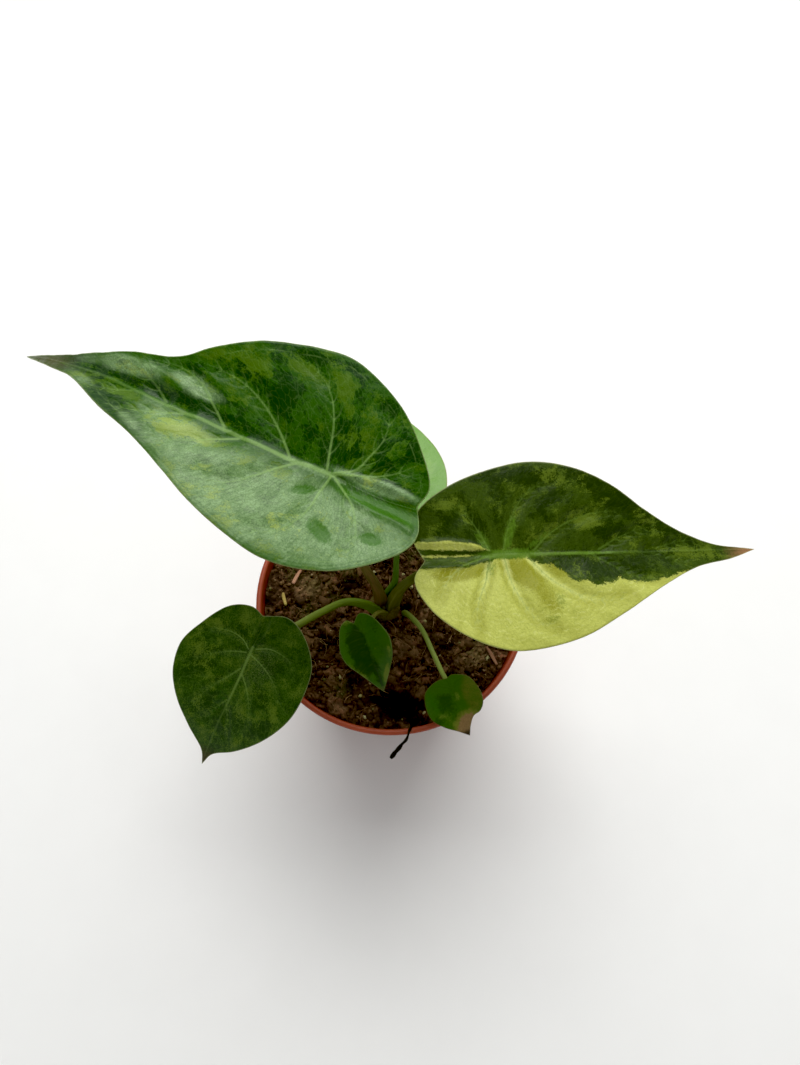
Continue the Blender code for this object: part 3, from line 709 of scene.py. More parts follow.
leaves = {
    "blade_1_large": dict(
        piece="leafLarge", slot="leaf_large", rows=63, steps=320,
        place=(-17.5, 7.5, 198.0), heading=152.5, dip=8.5, roll=-8.0, length=139.5, fold=20.0, arch=15.0,
        droop=4.5, halfWidth=35.0, lift=5.0, back=30.0, wave=0.8, waves=3.0, midrib=2.2, ribs=9, skin=0.5,
        left=[(-27.5, -2.5), (-32, 6), (-31, 12.5), (-20, 24.5), (-9, 31), (3, 34), (14.5, 32.5),
              (29, 28.5), (43, 23), (59, 17), (75.5, 12.5), (99.5, 5), (115, 3.2), (139.5, 0)],
        right=[(-27.5, -2.5), (-29, -9), (-21, -20), (-12, -28), (-0.5, -33.5), (8, -35.2), (17, -33.5),
               (36.5, -26.5), (50, -19.5), (60, -13.5), (78, -9.5), (94, -5.5), (108, -3), (139.5, 0)],
        veins=[
            [(-0.5, -0.3), (-4.8, -2.4), (-11.4, -5.5), (-17, -9), (-22, -13.5)],
            [(0, -0.3), (-5.5, -4.7), (-7.8, -10.3), (-9.9, -16.4), (-9.6, -21.9), (-7.4, -26.5)],
            [(2.1, -0.6), (4, -8.1), (5.3, -14.1), (7.8, -19.6), (11.7, -24), (15.7, -26.2), (21, -27.6)],
            [(13.8, 1), (18.5, -3.7), (23.7, -7.9), (29.1, -11), (34.8, -13.1), (42, -14.2), (52, -14.3)],
            [(36, 1.6), (43, -4), (50, -8.6), (58, -10.4), (68, -9.6)],
            [(58, 1.6), (65, -2.6), (74, -5.6), (84, -6.6)],
            [(-1.7, 0.9), (-6.8, 4), (-9.9, 6.4), (-14.3, 12.2), (-16.3, 17), (-16, 22)],
            [(0, 0.8), (0.5, 6.8), (0.1, 12.3), (0.9, 18.3), (2.7, 22.7), (6, 26.5), (11, 28.5)],
            [(11.4, 2.1), (14.4, 6), (16.9, 9.9), (19.3, 13.2), (22.5, 17), (27, 19.6), (34, 20.4)],
            [(30, 3), (36, 7), (42, 11), (48, 13.6), (56, 14.6)],
            [(50, 3), (57, 6), (64, 8.6), (72, 10.4), (80, 10)],
            [(72, 2.4), (79, 4.6), (87, 6), (95, 5)],
        ],
        midribLine=[(-27.5, -1.5), (-14, 0), (0, 0), (14, 1.8), (36, 2.4), (53, 2.7), (67, 2.2), (80, 1.2), (100, 0.7), (137, 0)],
        backRibs=[[(-1, -0.8), (-8.6, -3.4), (-16.7, -4.2), (-25, -3.6)], [(-1, 1), (-6, 3.6), (-15, 4.8), (-22.8, 4.8), (-29, 5.6)]],
        # dents: x, y, length, width, turn, depth; below 0 they are swellings
        dents=[(-6, 18.5, 5.5, 3.2, -25, 1.0), (-20, 13, 4.5, 3, 20, 0.9), (4.5, 8.6, 4.5, 2.2, 40, 0.8),
               (-17, 2.4, 13, 3.0, 2, 0.5), (12, 14, 6, 4, 50, 0.5), (66, -5.2, 30, 3.4, -6, -1.5),
               (24, 9, 9, 3.5, 28, -0.7), (10, -14, 9, 5, 75, -0.6), (26, -17, 9, 5, -35, -0.6)],
        # marks: x, y, length, width, turn, strength
        light=[(44, 7.8, 14, 3.0, 2, 1), (75, 5, 10, 2.4, -6, 0.7), (-3, -24, 8, 4, 10, 0.4), (15, -30, 9, 2, 6, 0.4), (22, -25.5, 9, 2.6, 8, 0.7), (40, -18, 12, 3.5, 12, 0.55),
               (-9, -18, 10, 5, 60, 0.45), (7, -26, 7, 4, -20, 0.5), (2, -19, 3, 9, 20, 0.35), (-19, -8, 6, 3, 0, 0.35),
               (92, 3, 9, 2.5, 0, 0.6), (33, -7, 8, 2, -20, 0.3)],
        # the long band along the midrib at (60, -0.9) is a painted shadow beside the raised midrib
        dark=[(0, -11, 4.5, 5, 10, 1), (22, -13.5, 4, 4.4, 10, 0.95), (33, -17, 5, 4, -20, 0.7), (-12, -4.4, 15, 1.3, 6, 0.9),
              (60, -0.9, 42, 1.9, 0, 1), (4, -7, 4, 3, 0, 0.6), (78, 9, 17, 3.2, -15, 1), (92, 1.5, 14, 2.6, 0, 0.6), (-2, -29, 9, 2, -14, 0.5), (8, -8, 3, 6, -30, 0.5),
              (-18, -17, 5, 4, 40, 0.6), (45, -8, 10, 2, -18, 0.7), (100, -1.5, 16, 2, 0, 0.6), (88, 5, 12, 1.6, -12, 0.8),
              (-12, -10, 5, 3, 20, 0.7), (20, -30, 14, 2, 12, 0.6), (6, -32, 9, 1.6, 0, 0.6)],
        fresh=[(-6, 18.5, 5, 2.3, -25, 1), (-20, 13.6, 4, 2.1, 10, 1), (4.6, 8.8, 4.2, 1.7, 40, 0.85), (-18, 5.6, 4, 1.3, 0, 0.6),
               (-17, 2.7, 15, 2.3, 2, 1)],
        # the next list is a painted sheen: the window's pale reflection on the lower half, on the ridge beside the fold
        # and in the band near the tip
        sheenAndTone=[(6, 18.5, 44, 14.4, 4, 1), (44, 12.5, 22, 8, -18, 0.85), (62, 13, 10, 2, -16, 0.6), (-14, -3.2, 14, 2.1, 4, 1), (50, -6.6, 10, 3.0, -4, 0.85), (77, -5.0, 15, 2.8, 2, 1),
               (6, 1.2, 12, 1.6, 4, 0.7), (95, 5, 11, 3, -10, 0.6), (94, -4, 10, 2.2, 6, 0.6)],
    ),
    "blade_2_variegated": dict(
        piece="leafVariegated", slot="leaf_variegated", rows=54, steps=240,
        place=(35.0, -9.0, 174.0), heading=5.0, dip=10.0, roll=13.0, length=101.5, fold=14.0, arch=3.0,
        droop=3.0, halfWidth=32.0, lift=0.0, back=26.0, wave=0.7, waves=2.0, midrib=2.2, ribs=9, skin=0.5,
        left=[(-23, -2), (-27, 6), (-25, 14.5), (-15, 22.5), (-1, 28), (13, 30.5), (27.5, 28.5),
              (42, 22.5), (55, 14), (69, 6.5), (83, 1.8), (101.5, 0)],
        right=[(-23, -2), (-27, -8.5), (-22.5, -18.5), (-11.5, -27.5), (1, -32.5), (9.5, -33), (27, -29.5),
               (42.5, -22), (58.5, -13.5), (75, -6.5), (90, -3.5), (101.5, 0)],
        veins=[
            [(-1.1, 0.6), (-4.2, 6.8), (-8, 12.3), (-12, 17.5)],
            [(4, 0.8), (6.1, 9.6), (9.4, 16.4), (15.2, 21.8), (20.9, 24.1)],
            [(14.7, 0.6), (19.6, 5.4), (27, 9.9), (38, 12.9), (48.3, 13.2)],
            [(38, 0.4), (46, 4.5), (55, 7.5), (64, 8)],
            [(60, 0.3), (68, 2.6), (77, 3)],
            [(-1.5, -1.2), (-9.4, -3.9), (-15.3, -8.4), (-19.1, -15.2)],
            [(-0.9, -1.5), (-3.2, -9.7), (-5.8, -15), (-7.6, -21), (-7, -26)],
            [(3.9, -1.5), (5.8, -11.6), (9.3, -19.4), (13.2, -24.1), (18.4, -27)],
            [(12, -1), (18, -8.8), (23.6, -13), (29.5, -16.3), (37.6, -17.6), (47, -16.6)],
            [(34, -0.6), (42, -5.5), (50, -9.5), (58, -10.8)],
            [(56, -0.4), (64, -3.6), (72, -5.2)],
        ],
        midribLine=[(-23, -2), (-10, -1.6), (0, -1), (14, -1), (40, -1), (65, -0.9), (90, -0.4), (100, 0)],
        backRibs=[[(-1, 0.5), (-8.9, 3.2), (-16.6, 3.9), (-24, 3.7)], [(-1, -2.4), (-9.4, -4.1), (-17.2, -4.6), (-24, -4.4)]],
        dents=[(-14, -0.8, 12, 1.6, 3, 1.2), (9, -9, 4, 6, -62, 0.6), (22, -9, 6, 3, -40, 0.5), (-9, -8, 8, 3, 15, 0.5),
               (0, -18, 5, 6, 0, -0.5), (12, -14, 4, 6, 20, -0.5), (30, -11, 8, 3, -20, -0.4), (-12, 12, 5, 3, 40, 0.5),
               (10, 9, 4, 6, 60, -0.5), (24, 14, 8, 4, 25, -0.6)],
        light=[(-16, 16.5, 6, 2.2, 8, 0.9), (-9.5, 15, 2, 4, 30, 0.55), (31, 12, 7, 3.2, 8, 0.6), (36, 14, 2.5, 4, -30, 0.5), (23, 24, 9, 3.4, -20, 0.35), (15, 8, 10, 2, 40, 0.35),
               (34, 8.6, 7, 1.6, 8, 0.6), (15, 5, 9, 2.2, 30, 0.4), (68, -0.5, 8, 2.0, -4, 0.75), (48, 4, 9, 2.2, -4, 0.35),
               (57, 8, 8, 2.2, -28, 0.35), (10, 17, 2.4, 6, -20, 0.35), (-20, 6, 5, 1.6, 10, 0.35), (82, -2, 8, 2.0, -6, 0.7)],
        dark=[(44, 18, 24, 3.6, -32, 1), (8, 26, 16, 3, -3, 0.9), (2, 18, 3, 8, 0, 0.6), (42, 6.5, 6, 2.6, 0, 0.8),
              (34, -6, 10, 4, -5, 0.85), (-5, 8, 3, 5, 30, 0.6), (54, -5, 9, 4, 0, 0.5), (70, 5, 12, 2, -28, 0.7),
              (-15, 9.5, 5, 2.5, 30, 0.6), (19, 17, 6, 2.6, 40, 0.6)],
        fresh=[(6, -0.6, 12, 1.9, 0, 0.9), (30, -0.9, 18, 0.6, 0, 0.75), (-3, 4, 2, 5, 30, 0.6), (6, 6, 2, 7, -14, 0.7),
               (-1, -5, 2, 5, -20, 0.5), (15, 3, 7, 1.4, 40, 0.55)],
        sheenAndTone=[(-12, -6.8, 10, 2.6, 3, 1), (10, -8, 9, 4.4, -42, 1), (16, -15, 4, 8, 25, 0.7), (24, -7.5, 8, 2.6, -30, 0.7),
               (50, -12.5, 12, 2, 0, 0.3)],
    ),
    "blade_3_heart": dict(
        piece="leafHeart", slot="leaf_heart", rows=44, steps=170,
        place=(-52.5, -33.0, 137.0), heading=-118.5, dip=32.0, roll=-6.0, length=51.5, fold=8.0, arch=3.0,
        droop=2.0, halfWidth=26.0, lift=0.0, back=16.0, wave=0.4, waves=2.0, midrib=1.7, ribs=7, skin=0.5,
        left=[(-13, -1), (-16.5, 8), (-14, 15.5), (-5, 24), (5, 26), (16, 25), (28.5, 19),
              (38.5, 10.5), (45, 2.5), (51.5, 0)],
        right=[(-13, -1), (-14.5, -6.5), (-11.5, -14), (-0.5, -21.5), (8.5, -25), (18.5, -23.5),
               (27.5, -18.5), (37.5, -10), (45.5, -2), (51.5, 0)],
        veins=[
            [(0, -0.5), (-2.3, -4.5), (-3, -9), (-1.6, -15.1), (1, -18)],
            [(1.6, -0.8), (3.2, -5.5), (5.8, -10.3), (8.6, -14.3), (13, -18.5)],
            [(7.9, -0.2), (12, -2.8), (16.5, -6), (22.5, -9.4), (29.8, -12.2)],
            [(21, 0), (27, -3.4), (33, -6)],
            [(-1, 2), (-3.4, 7), (-3.6, 12), (-2.9, 15.3), (-0.5, 19.5)],
            [(1.7, 1), (3.2, 7), (5.8, 12.5), (9.3, 16.3), (14.4, 19.5)],
            [(9.3, 1), (14.4, 6), (19.7, 9.1), (26.1, 10.9), (33.3, 10)],
            [(23, 0.5), (29, 3.6), (35, 5)],
        ],
        midribLine=[(-13, 0.5), (0, 0.6), (12, 1), (30, 0.4), (50, 0)],
        backRibs=[[(-0.8, -0.5), (-7.3, -1.3), (-13, -1.3)], [(-1, 1), (-5, 3.1), (-9.5, 3.6), (-14, 3)]],
        dents=[(-7, 0.9, 7, 1.1, 0, 0.8), (6, -8, 3, 5, 20, -0.4), (6, 9, 3, 5, -20, -0.4), (17, -5, 5, 3, -30, -0.4),
               (17, 6, 5, 3, 30, -0.4)],
        light=[(7.5, -18, 5, 2.6, 10, 0.75), (-9, -7, 3.4, 2, 30, 0.6), (14.5, -5.5, 1.6, 2.6, 20, 0.7), (11.5, -12.5, 1.6, 3.4, 10, 0.6),
               (23.5, 7, 4, 2, 0, 0.65), (18, 19, 4, 1.4, 10, 0.6), (0, -19.5, 3, 1.6, -10, 0.55), (36, 8.5, 6, 1.2, -42, 0.4),
               (-5, 3.2, 6, 1, 0, 0.5), (4, 23, 8, 1.2, 0, 0.35), (32, -12, 7, 1.2, 40, 0.35), (21, -5.5, 2, 1.6, 0, 0.5),
               (-3, -14, 3, 2.4, 0, 0.4), (8, 2, 7, 1.6, 0, 0.3), (27, 9, 3, 1.2, -20, 0.4), (16, -8, 3, 1, -30, 0.4)],
        dark=[(14, -16, 4, 5, 20, 0.8), (30, 2, 9, 4, 0, 0.5), (26, -8, 5, 4, 0, 0.7), (14, 12, 3, 5, -30, 0.6),
              (2, 9, 3, 5, 0, 0.5), (-4, -5, 4, 2.5, 30, 0.5), (26, 15, 6, 3, -30, 0.7), (6, -12, 2.4, 3.4, 10, 0.7)],
        fresh=[(20, -2, 12, 4, 0, 0.4)],
        sheenAndTone=[(4, 6, 9, 7, 0, 0.8), (8, 1, 6, 2, 0, 0.6)],
    ),
    "blade_4_folded": dict(
        piece="leafFolded", slot="leaf_folded", rows=26, steps=96,
        place=(-11.0, -24.0, 127.0), heading=-68.0, dip=30.5, roll=12.0, length=25.7, fold=24.0, arch=2.0,
        droop=0.0, halfWidth=10.0, lift=0.0, back=7.0, wave=0.2, waves=2.0, midrib=1.1, ribs=5, skin=0.45,
        left=[(-4.6, -2.2), (-7.5, 1), (-6, 4.8), (-2.4, 7.7), (3, 10), (10, 9), (16, 6), (25.7, 0)],
        right=[(-4.6, -2.2), (-6.7, -4.6), (-5.4, -7.2), (-0.6, -9.2), (4, -10.1), (8.2, -9.3),
               (14.2, -6), (25.7, 0)],
        veins=[], backRibs=[], midribLine=[(-4.6, -2.2), (0, 0.3), (9, 0.7), (20, 1), (25, 0.1)], dents=[],
        light=[(17.5, 4.2, 4, 1.1, -28, 1), (8.5, 8.2, 3, 0.9, -12, 0.7), (13, -6.2, 6, 0.8, 28, 0.6), (-6.2, -4.4, 1.3, 1.8, 0, 1),
               (9, 4.5, 4, 2, 30, 0.35)],
        dark=[(6, -3, 10, 3.4, 0, 1), (16, 0.5, 6, 1.6, 0, 0.7), (-3, 5.5, 3, 2, 0, 0.4)],
        fresh=[(7, 4, 6, 3, 20, 0.6), (-4, -4.5, 3, 2, 0, 0.6)], sheenAndTone=[],
    ),
    "blade_5_round": dict(
        piece="leafRound", slot="leaf_round", rows=26, steps=96,
        place=(24.5, -44.0, 116.0), heading=-67.0, dip=21.0, roll=12.0, length=19.5, fold=12.0, arch=1.0,
        droop=0.0, halfWidth=11.0, lift=0.0, back=6.0, wave=0.3, waves=2.0, midrib=1.1, ribs=5, skin=0.45,
        left=[(-4.7, -0.6), (-5.4, 2), (-2.7, 8), (4, 10.4), (8.5, 9.6), (11.2, 7.4), (12.4, 4.3),
              (15.8, 1.7), (19.5, 0)],
        right=[(-4.7, -0.6), (-5.2, -4.2), (-2.8, -10.2), (3.3, -12.2), (8, -11.4), (12.7, -7.8),
               (16.4, -3.4), (19.5, 0)],
        veins=[], backRibs=[], midribLine=[(-4.7, -0.6), (0, 0), (9, 0.2), (19, 0)], dents=[],
        light=[(3, 1, 2, 1, 0, 0.6), (10, -6, 4, 2.4, 40, 0.4), (13, -3.6, 1.8, 1.4, 0, 0.8)],
        dark=[(5, -4, 4, 4, 0, 0.6), (9, -9, 2, 2, 0, 0.5)],
        fresh=[(2, -9, 6, 3, 10, 0.6)], sheenAndTone=[(3, 7.5, 8, 4, -8, 1)],
    ),
    "blade_6_rear": dict(
        piece="leafRear", slot="leaf_rear", rows=34, steps=150,
        place=(5.5, 21.5, 162.0), heading=104.0, dip=19.0, roll=0.0, length=62.0, fold=12.0, arch=3.0,
        droop=1.0, halfWidth=16.0, lift=0.0, back=11.0, wave=0.3, waves=2.0, midrib=1.5, ribs=6, skin=0.5,
        left=[(-11.5, -0.5), (-14, 6), (-11, 12), (-3, 16.5), (6, 17.5), (15, 16), (25, 12.5),
              (38, 7.5), (50, 2.8), (62, 0)],
        right=[(-11.5, -0.5), (-14.5, -6), (-12, -11), (-5, -15), (4, -17.2), (14, -16.6), (24, -13.8),
               (31, -11.3), (42, -6.5), (52, -2.4), (62, 0)],
        veins=[], backRibs=[[(-1, 0.5), (-7, 2.2), (-11.5, 2.6)], [(-1, -0.5), (-7, -2.2), (-11.5, -2.8)]],
        midribLine=[(-11.5, -0.5), (0, 0), (60, 0)], dents=[(-7, 0, 6, 1.2, 0, 0.8)],
        light=[(8, -10, 8, 3, 0, 0.6), (20, 6, 10, 3, 0, 0.6)], dark=[(10, 6, 6, 4, 20, 0.6), (30, -4, 8, 3, 0, 0.6)],
        # on the next line, the second list paints a sheen over nearly the whole leaf
        fresh=[], sheenAndTone=[(8, 0, 30, 18, 0, 1)],
    ),
}


def bladeLift(leaf, x, y):
    t = x / leaf["length"]
    arch = np.where(t > 0, 4 * leaf["arch"] * t * (1 - t),
                    4 * leaf["arch"] * t + leaf["lift"] * (x / leaf["back"]) ** 2)
    rounding = bladeForm["valleyRounding"]
    fold = math.tan(math.radians(leaf["fold"])) * (np.hypot(y, rounding) - rounding)
    return arch + fold - leaf["droop"] * (y / leaf["halfWidth"]) ** 2


def bladeFlat(leaf, across, share):
    # where each point of the blade lies when seen from straight above, and how far out it is
    lobe = bladeForm["lobeShare"]
    notch = np.array(leaf["left"][0], float)
    back = np.clip(1 - share / lobe, 0, 1) ** bladeForm["lobePower"]
    front = np.clip((share - lobe) / (1 - lobe), 0, 1) ** bladeForm["frontPower"]
    middle = back[:, None] * notch + np.stack([front * leaf["length"], 0 * front], 1)
    lines = [smoothLine(leaf[side], bladeForm["marginRound"]) for side in ("right", "left")]
    edge = np.where((across > 0)[:, None], atShares(lines[1], share), atShares(lines[0], share))
    out = np.abs(across) ** bladeForm["rowPower"]
    flat = middle + (edge - middle) * out[:, None]
    reach = np.linalg.norm(edge - middle, axis=1)
    flat[:, 0] -= bladeForm["ribBend"] * reach * np.sin(math.pi * out) * np.sin(math.pi * share)
    return flat, out, reach, lines


def leafVeins(leaf):
    if leaf["veins"]:
        return leaf["veins"]
    found = []
    for side in (-1, 1):
        for k in range(1, leaf["ribs"]):
            share = np.full(7, k / leaf["ribs"])
            across = side * np.linspace(0.02, 0.86, 7)
            found.append(bladeFlat(leaf, across, share)[0])
    return found


def branches(vein, size):
    # finer side veins that leave a main vein and bend towards the leaf's edge
    line = smoothLine(vein, 6)
    length = lineLength(line)
    found = []
    for k in range(1, int(length / (3.6 * size)) + 1):
        share = k * 3.6 * size / length
        if share > 0.92:
            break
        start, ahead = atShares(line, np.array([share, min(1.0, share + 0.04)]))
        ahead = ahead - start
        heading = math.atan2(ahead[1], ahead[0])
        for side in (-1, 1):
            angle = heading + side * 0.95
            spot, route = start.copy(), [start.copy()]
            for step in range(4):
                angle -= side * 0.22
                spot = spot + 1.7 * size * (1 - 0.35 * share) * np.array((math.cos(angle), math.sin(angle)))
                route.append(spot.copy())
            found.append(route)
    return found


def patches(spots, marks):
    # how strongly each spot is marked; marks are x, y, length, width, turn and strength
    value = np.zeros(len(spots))
    for x, y, long, wide, turn, strength in marks:
        a = math.radians(turn)
        dx, dy = spots[:, 0] - x, spots[:, 1] - y
        d = np.hypot((dx * math.cos(a) + dy * math.sin(a)) / long, (dy * math.cos(a) - dx * math.sin(a)) / wide)
        value = np.maximum(value, strength / (1 + np.exp((d - 1) / 0.24)))
    return value


def leafMesh(leaf):
    rows, steps = leaf["rows"], leaf["steps"]
    grid = np.meshgrid(np.linspace(0, 1, steps + 1), np.linspace(-1, 1, 2 * rows + 1), indexing="ij")
    share, across = (g.ravel() for g in grid)
    flat, out, reach, lines = bladeFlat(leaf, across, share)
    x, y = flat.T
    ends = np.sin(math.pi * share)
    z = bladeLift(leaf, x, y)
    z += leaf["wave"] * out**3 * ends * np.sin(2 * math.pi * (leaf["waves"] * share + bladeForm["waveShift"] * (across > 0)))
    size = leaf["length"] / 100
    inset = np.minimum(lineDistance(flat, lines[0])[0], lineDistance(flat, lines[1])[0])
    vein, groove, twig = np.zeros(len(x)), np.zeros(len(x)), np.zeros(len(x))
    for line in leafVeins(leaf):
        away, along = lineDistance(flat, smoothLine(line, 6))
        width = (0.42 - 0.2 * along) * (0.5 + 0.5 * size)
        vein = np.maximum(vein, bell(away, width) * (1 - 0.55 * along))
        groove = np.maximum(groove, bell(away, 1.9 * size + 0.6) * (1 - 0.5 * along))
        if leaf["veins"]:
            for branch in branches(line, size):
                near = lineDistance(flat, smoothLine(branch, 3))
                twig = np.maximum(twig, bell(near[0], 0.3) * (1 - 0.7 * near[1]))
    away, along = lineDistance(flat, smoothLine(leaf["midribLine"], 6))
    front = np.clip(x / leaf["length"], 0, 1)
    width = ((0.64 - 0.5 * front) * (0.45 + 0.5 * size)) * (x > -1.5) + 0.16
    midrib = bell(away, width) * np.where(x > -1.5, 1.0, 0.55)
    vein = np.maximum(vein, midrib)
    z -= 0.8 * size ** 1.2 * groove * np.clip(np.hypot(x, y) / (7 * size), 0.3, 1) * np.clip(inset / 4, 0, 1) * np.clip(ends * 3, 0, 1)
    z += (0.16 * vein - 0.18 * twig) * np.clip(inset, 0, 1)
    ridge = np.zeros(len(x))
    for line in leaf["backRibs"]:
        away, along = lineDistance(flat, smoothLine(line, 6))
        ridge = np.maximum(ridge, bell(away, 1.1 * (0.4 + 0.6 * size)) * np.clip(inset / 2, 0, 1))
    z += 0.7 * (0.3 + 0.7 * size) * ridge
    for dent in leaf["dents"]:
        a = math.radians(dent[4])
        dx, dy = x - dent[0], y - dent[1]
        d = np.hypot((dx * math.cos(a) + dy * math.sin(a)) / dent[2], (dy * math.cos(a) - dx * math.sin(a)) / dent[3])
        z -= dent[5] * bell(d, 1.0) * np.clip(inset / 3, 0, 1)
    seed = leaf["length"]
    z += np.array([0.2 * noise.noise(Vector((a / 5.0, b / 5.0, seed))) + 0.05 * noise.noise(Vector((a / 1.7, b / 1.7, seed)))
                   for a, b in zip(x, y)]) * (0.4 + 0.6 * size)
    thick = np.clip(1 - out / bladeForm["midribShare"], 0, 1) * (1 - bladeForm["midribTaper"] * share)
    thick = np.clip(thick + 0.22 * vein * (1 - out), 0, 1)
    side = np.where(across < 0, -1.0, 1.0)
    points = np.stack([x, y, z], 1)
    values = dict(place=np.stack([x, y, 0 * x], 1), vein=vein, twig=twig, groove=groove, inset=inset,
                  ribs=np.stack([share * lineLength(lines[0]), side * out * reach + 60 * (side < 0), 0 * x], 1),
                  thick=thick, front=x / leaf["length"])
    for mark in ("light", "dark", "fresh", "sheenAndTone"):
        values[mark] = patches(flat, leaf[mark])
    return points, gridFaces(steps + 1, 2 * rows + 1), values


def makeLeaf(node, leaf, materials):
    points, faces, values = leafMesh(leaf)
    mesh = bpy.data.meshes.new(leaf["piece"])
    mesh.from_pydata((points * mm).tolist(), [], faces.tolist())
    for key, value in values.items():
        kind = "FLOAT" if value.ndim == 1 else "FLOAT_VECTOR"
        layer = mesh.attributes.new(key, kind, "POINT")
        layer.data.foreach_set("value" if value.ndim == 1 else "vector", value.astype(np.float32).ravel())
    bm = bmesh.new()
    bm.from_mesh(mesh)
    bmesh.ops.remove_doubles(bm, verts=bm.verts, dist=0.002 * mm)
    bmesh.ops.recalc_face_normals(bm, faces=bm.faces)
    if sum(face.normal.z for face in bm.faces) < 0:
        bmesh.ops.reverse_faces(bm, faces=bm.faces)
    weights, thick = bm.verts.layers.deform.verify(), bm.verts.layers.float["thick"]
    for vert in bm.verts:
        vert[weights][0] = vert[thick]
    bm.to_mesh(mesh)
    bm.free()
    mesh.shade_smooth()
    for material in materials:
        mesh.materials.append(material)
    sheetObject = bpy.data.objects.new(leaf["piece"] + "Sheet", mesh)
    bpy.context.scene.collection.objects.link(sheetObject)
    sheetObject.vertex_groups.new(name="rib")
    solid = sheetObject.modifiers.new("thickness", "SOLIDIFY")
    solid.thickness = leaf["midrib"] * mm
    solid.vertex_group = "rib"
    solid.thickness_vertex_group = leaf["skin"] / leaf["midrib"]
    solid.offset = -1.0
    solid.material_offset = 1
    graph = bpy.context.evaluated_depsgraph_get()
    whole = bpy.data.meshes.new_from_object(sheetObject.evaluated_get(graph), depsgraph=graph)
    bpy.data.objects.remove(sheetObject, do_unlink=True)
    whole.name = leaf["piece"]
    turn = Euler([math.radians(leaf[k]) for k in ("roll", "dip", "heading")]).to_matrix().to_4x4()
    whole.transform(Matrix.Translation(Vector(leaf["place"]) * mm) @ turn)
    piece = bpy.data.objects.new(leaf["piece"], whole)
    bpy.context.scene.collection.objects.link(piece)
    keepPiece(piece, [node])
    print("leaf:", leaf["piece"], len(whole.polygons), "faces")
    return piece


# leaf colours; patchy is how much the loose mottling shows, tipStart where the dry tip begins. On blades 1 and 6 the
# pale colour that the sheen patches mix in is a painted sheen
leafLooks = {
    "blade_1_large": dict(dark=screen(14, 48, 2), green=screen(38, 78, 5), light=screen(68, 98, 13),
                          fresh=screen(50, 96, 5), sheenAndTone=screen(136, 166, 114), vein=screen(128, 162, 86),
                          edge=screen(128, 146, 84), tip=screen(70, 66, 24), under=screen(120, 150, 84),
                          rough=0.32, shine=0.16, sheenAndToneMix=1.0, hem=0.45, patchy=1.1, veinShow=0.55, tipStart=0.74,
                          tiles=1.0, specks=0.8, net=0.1, relief=0.4),
    "blade_2_variegated": dict(dark=screen(28, 44, 6), green=screen(50, 68, 14), light=screen(88, 106, 30),
                               fresh=screen(80, 112, 28), sheenAndTone=screen(150, 152, 44), vein=screen(96, 124, 48),
                               edge=screen(150, 154, 100), tip=screen(164, 118, 84), under=screen(150, 165, 100),
                               rough=0.36, shine=0.12, sheenAndToneMix=1.0, hem=0.06, patchy=1.1, veinShow=0.5, tipStart=0.88,
                               tiles=0.5, specks=1.2, net=0.08, relief=0.7),
    "blade_3_heart": dict(dark=screen(24, 48, 6), green=screen(44, 72, 12), light=screen(82, 102, 28),
                          fresh=screen(34, 78, 7), sheenAndTone=screen(58, 78, 34), vein=screen(100, 126, 56),
                          edge=screen(132, 138, 90), tip=screen(60, 42, 20), under=screen(104, 130, 76),
                          rough=0.38, shine=0.16, sheenAndToneMix=0.25, hem=0.15, patchy=1.5, veinShow=0.8, tipStart=0.84,
                          tiles=0.5, specks=2.8, net=0.14, relief=0.5),
    "blade_4_folded": dict(dark=screen(24, 48, 6), green=screen(50, 86, 12), light=screen(100, 114, 34),
                           fresh=screen(40, 78, 7), sheenAndTone=screen(50, 76, 24), vein=screen(56, 86, 20),
                           edge=screen(104, 116, 60), tip=screen(88, 70, 34), under=screen(80, 104, 50),
                           rough=0.4, shine=0.16, sheenAndToneMix=0.8, hem=0.1, patchy=0.6, veinShow=0.12, tipStart=0.9,
                           tiles=0.4, specks=0.5, net=0.04, relief=0.3),
    "blade_5_round": dict(dark=screen(32, 64, 6), green=screen(52, 90, 12), light=screen(96, 114, 34),
                          fresh=screen(44, 90, 8), sheenAndTone=screen(112, 104, 36), vein=screen(54, 82, 18),
                          edge=screen(96, 90, 40), tip=screen(70, 54, 34), under=screen(110, 120, 66),
                          rough=0.42, shine=0.16, sheenAndToneMix=0.7, hem=0.1, patchy=0.7, veinShow=0.2, tipStart=0.9,
                          tiles=0.4, specks=0.6, net=0.05, relief=0.35),
    # blade 6's colours are all pale: a painted sheen over the whole visible leaf
    "blade_6_rear": dict(dark=screen(84, 126, 46), green=screen(100, 144, 58), light=screen(122, 158, 76),
                         fresh=screen(100, 140, 60), sheenAndTone=screen(112, 150, 74), vein=screen(134, 166, 96),
                         edge=screen(170, 160, 128), tip=screen(120, 110, 70), under=screen(130, 155, 100),
                         rough=0.38, shine=0.3, sheenAndToneMix=0.8, hem=0.3, patchy=0.8, veinShow=0.5, tipStart=0.9,
                         tiles=0.4, specks=0.6, net=0.15, relief=0.6),
}


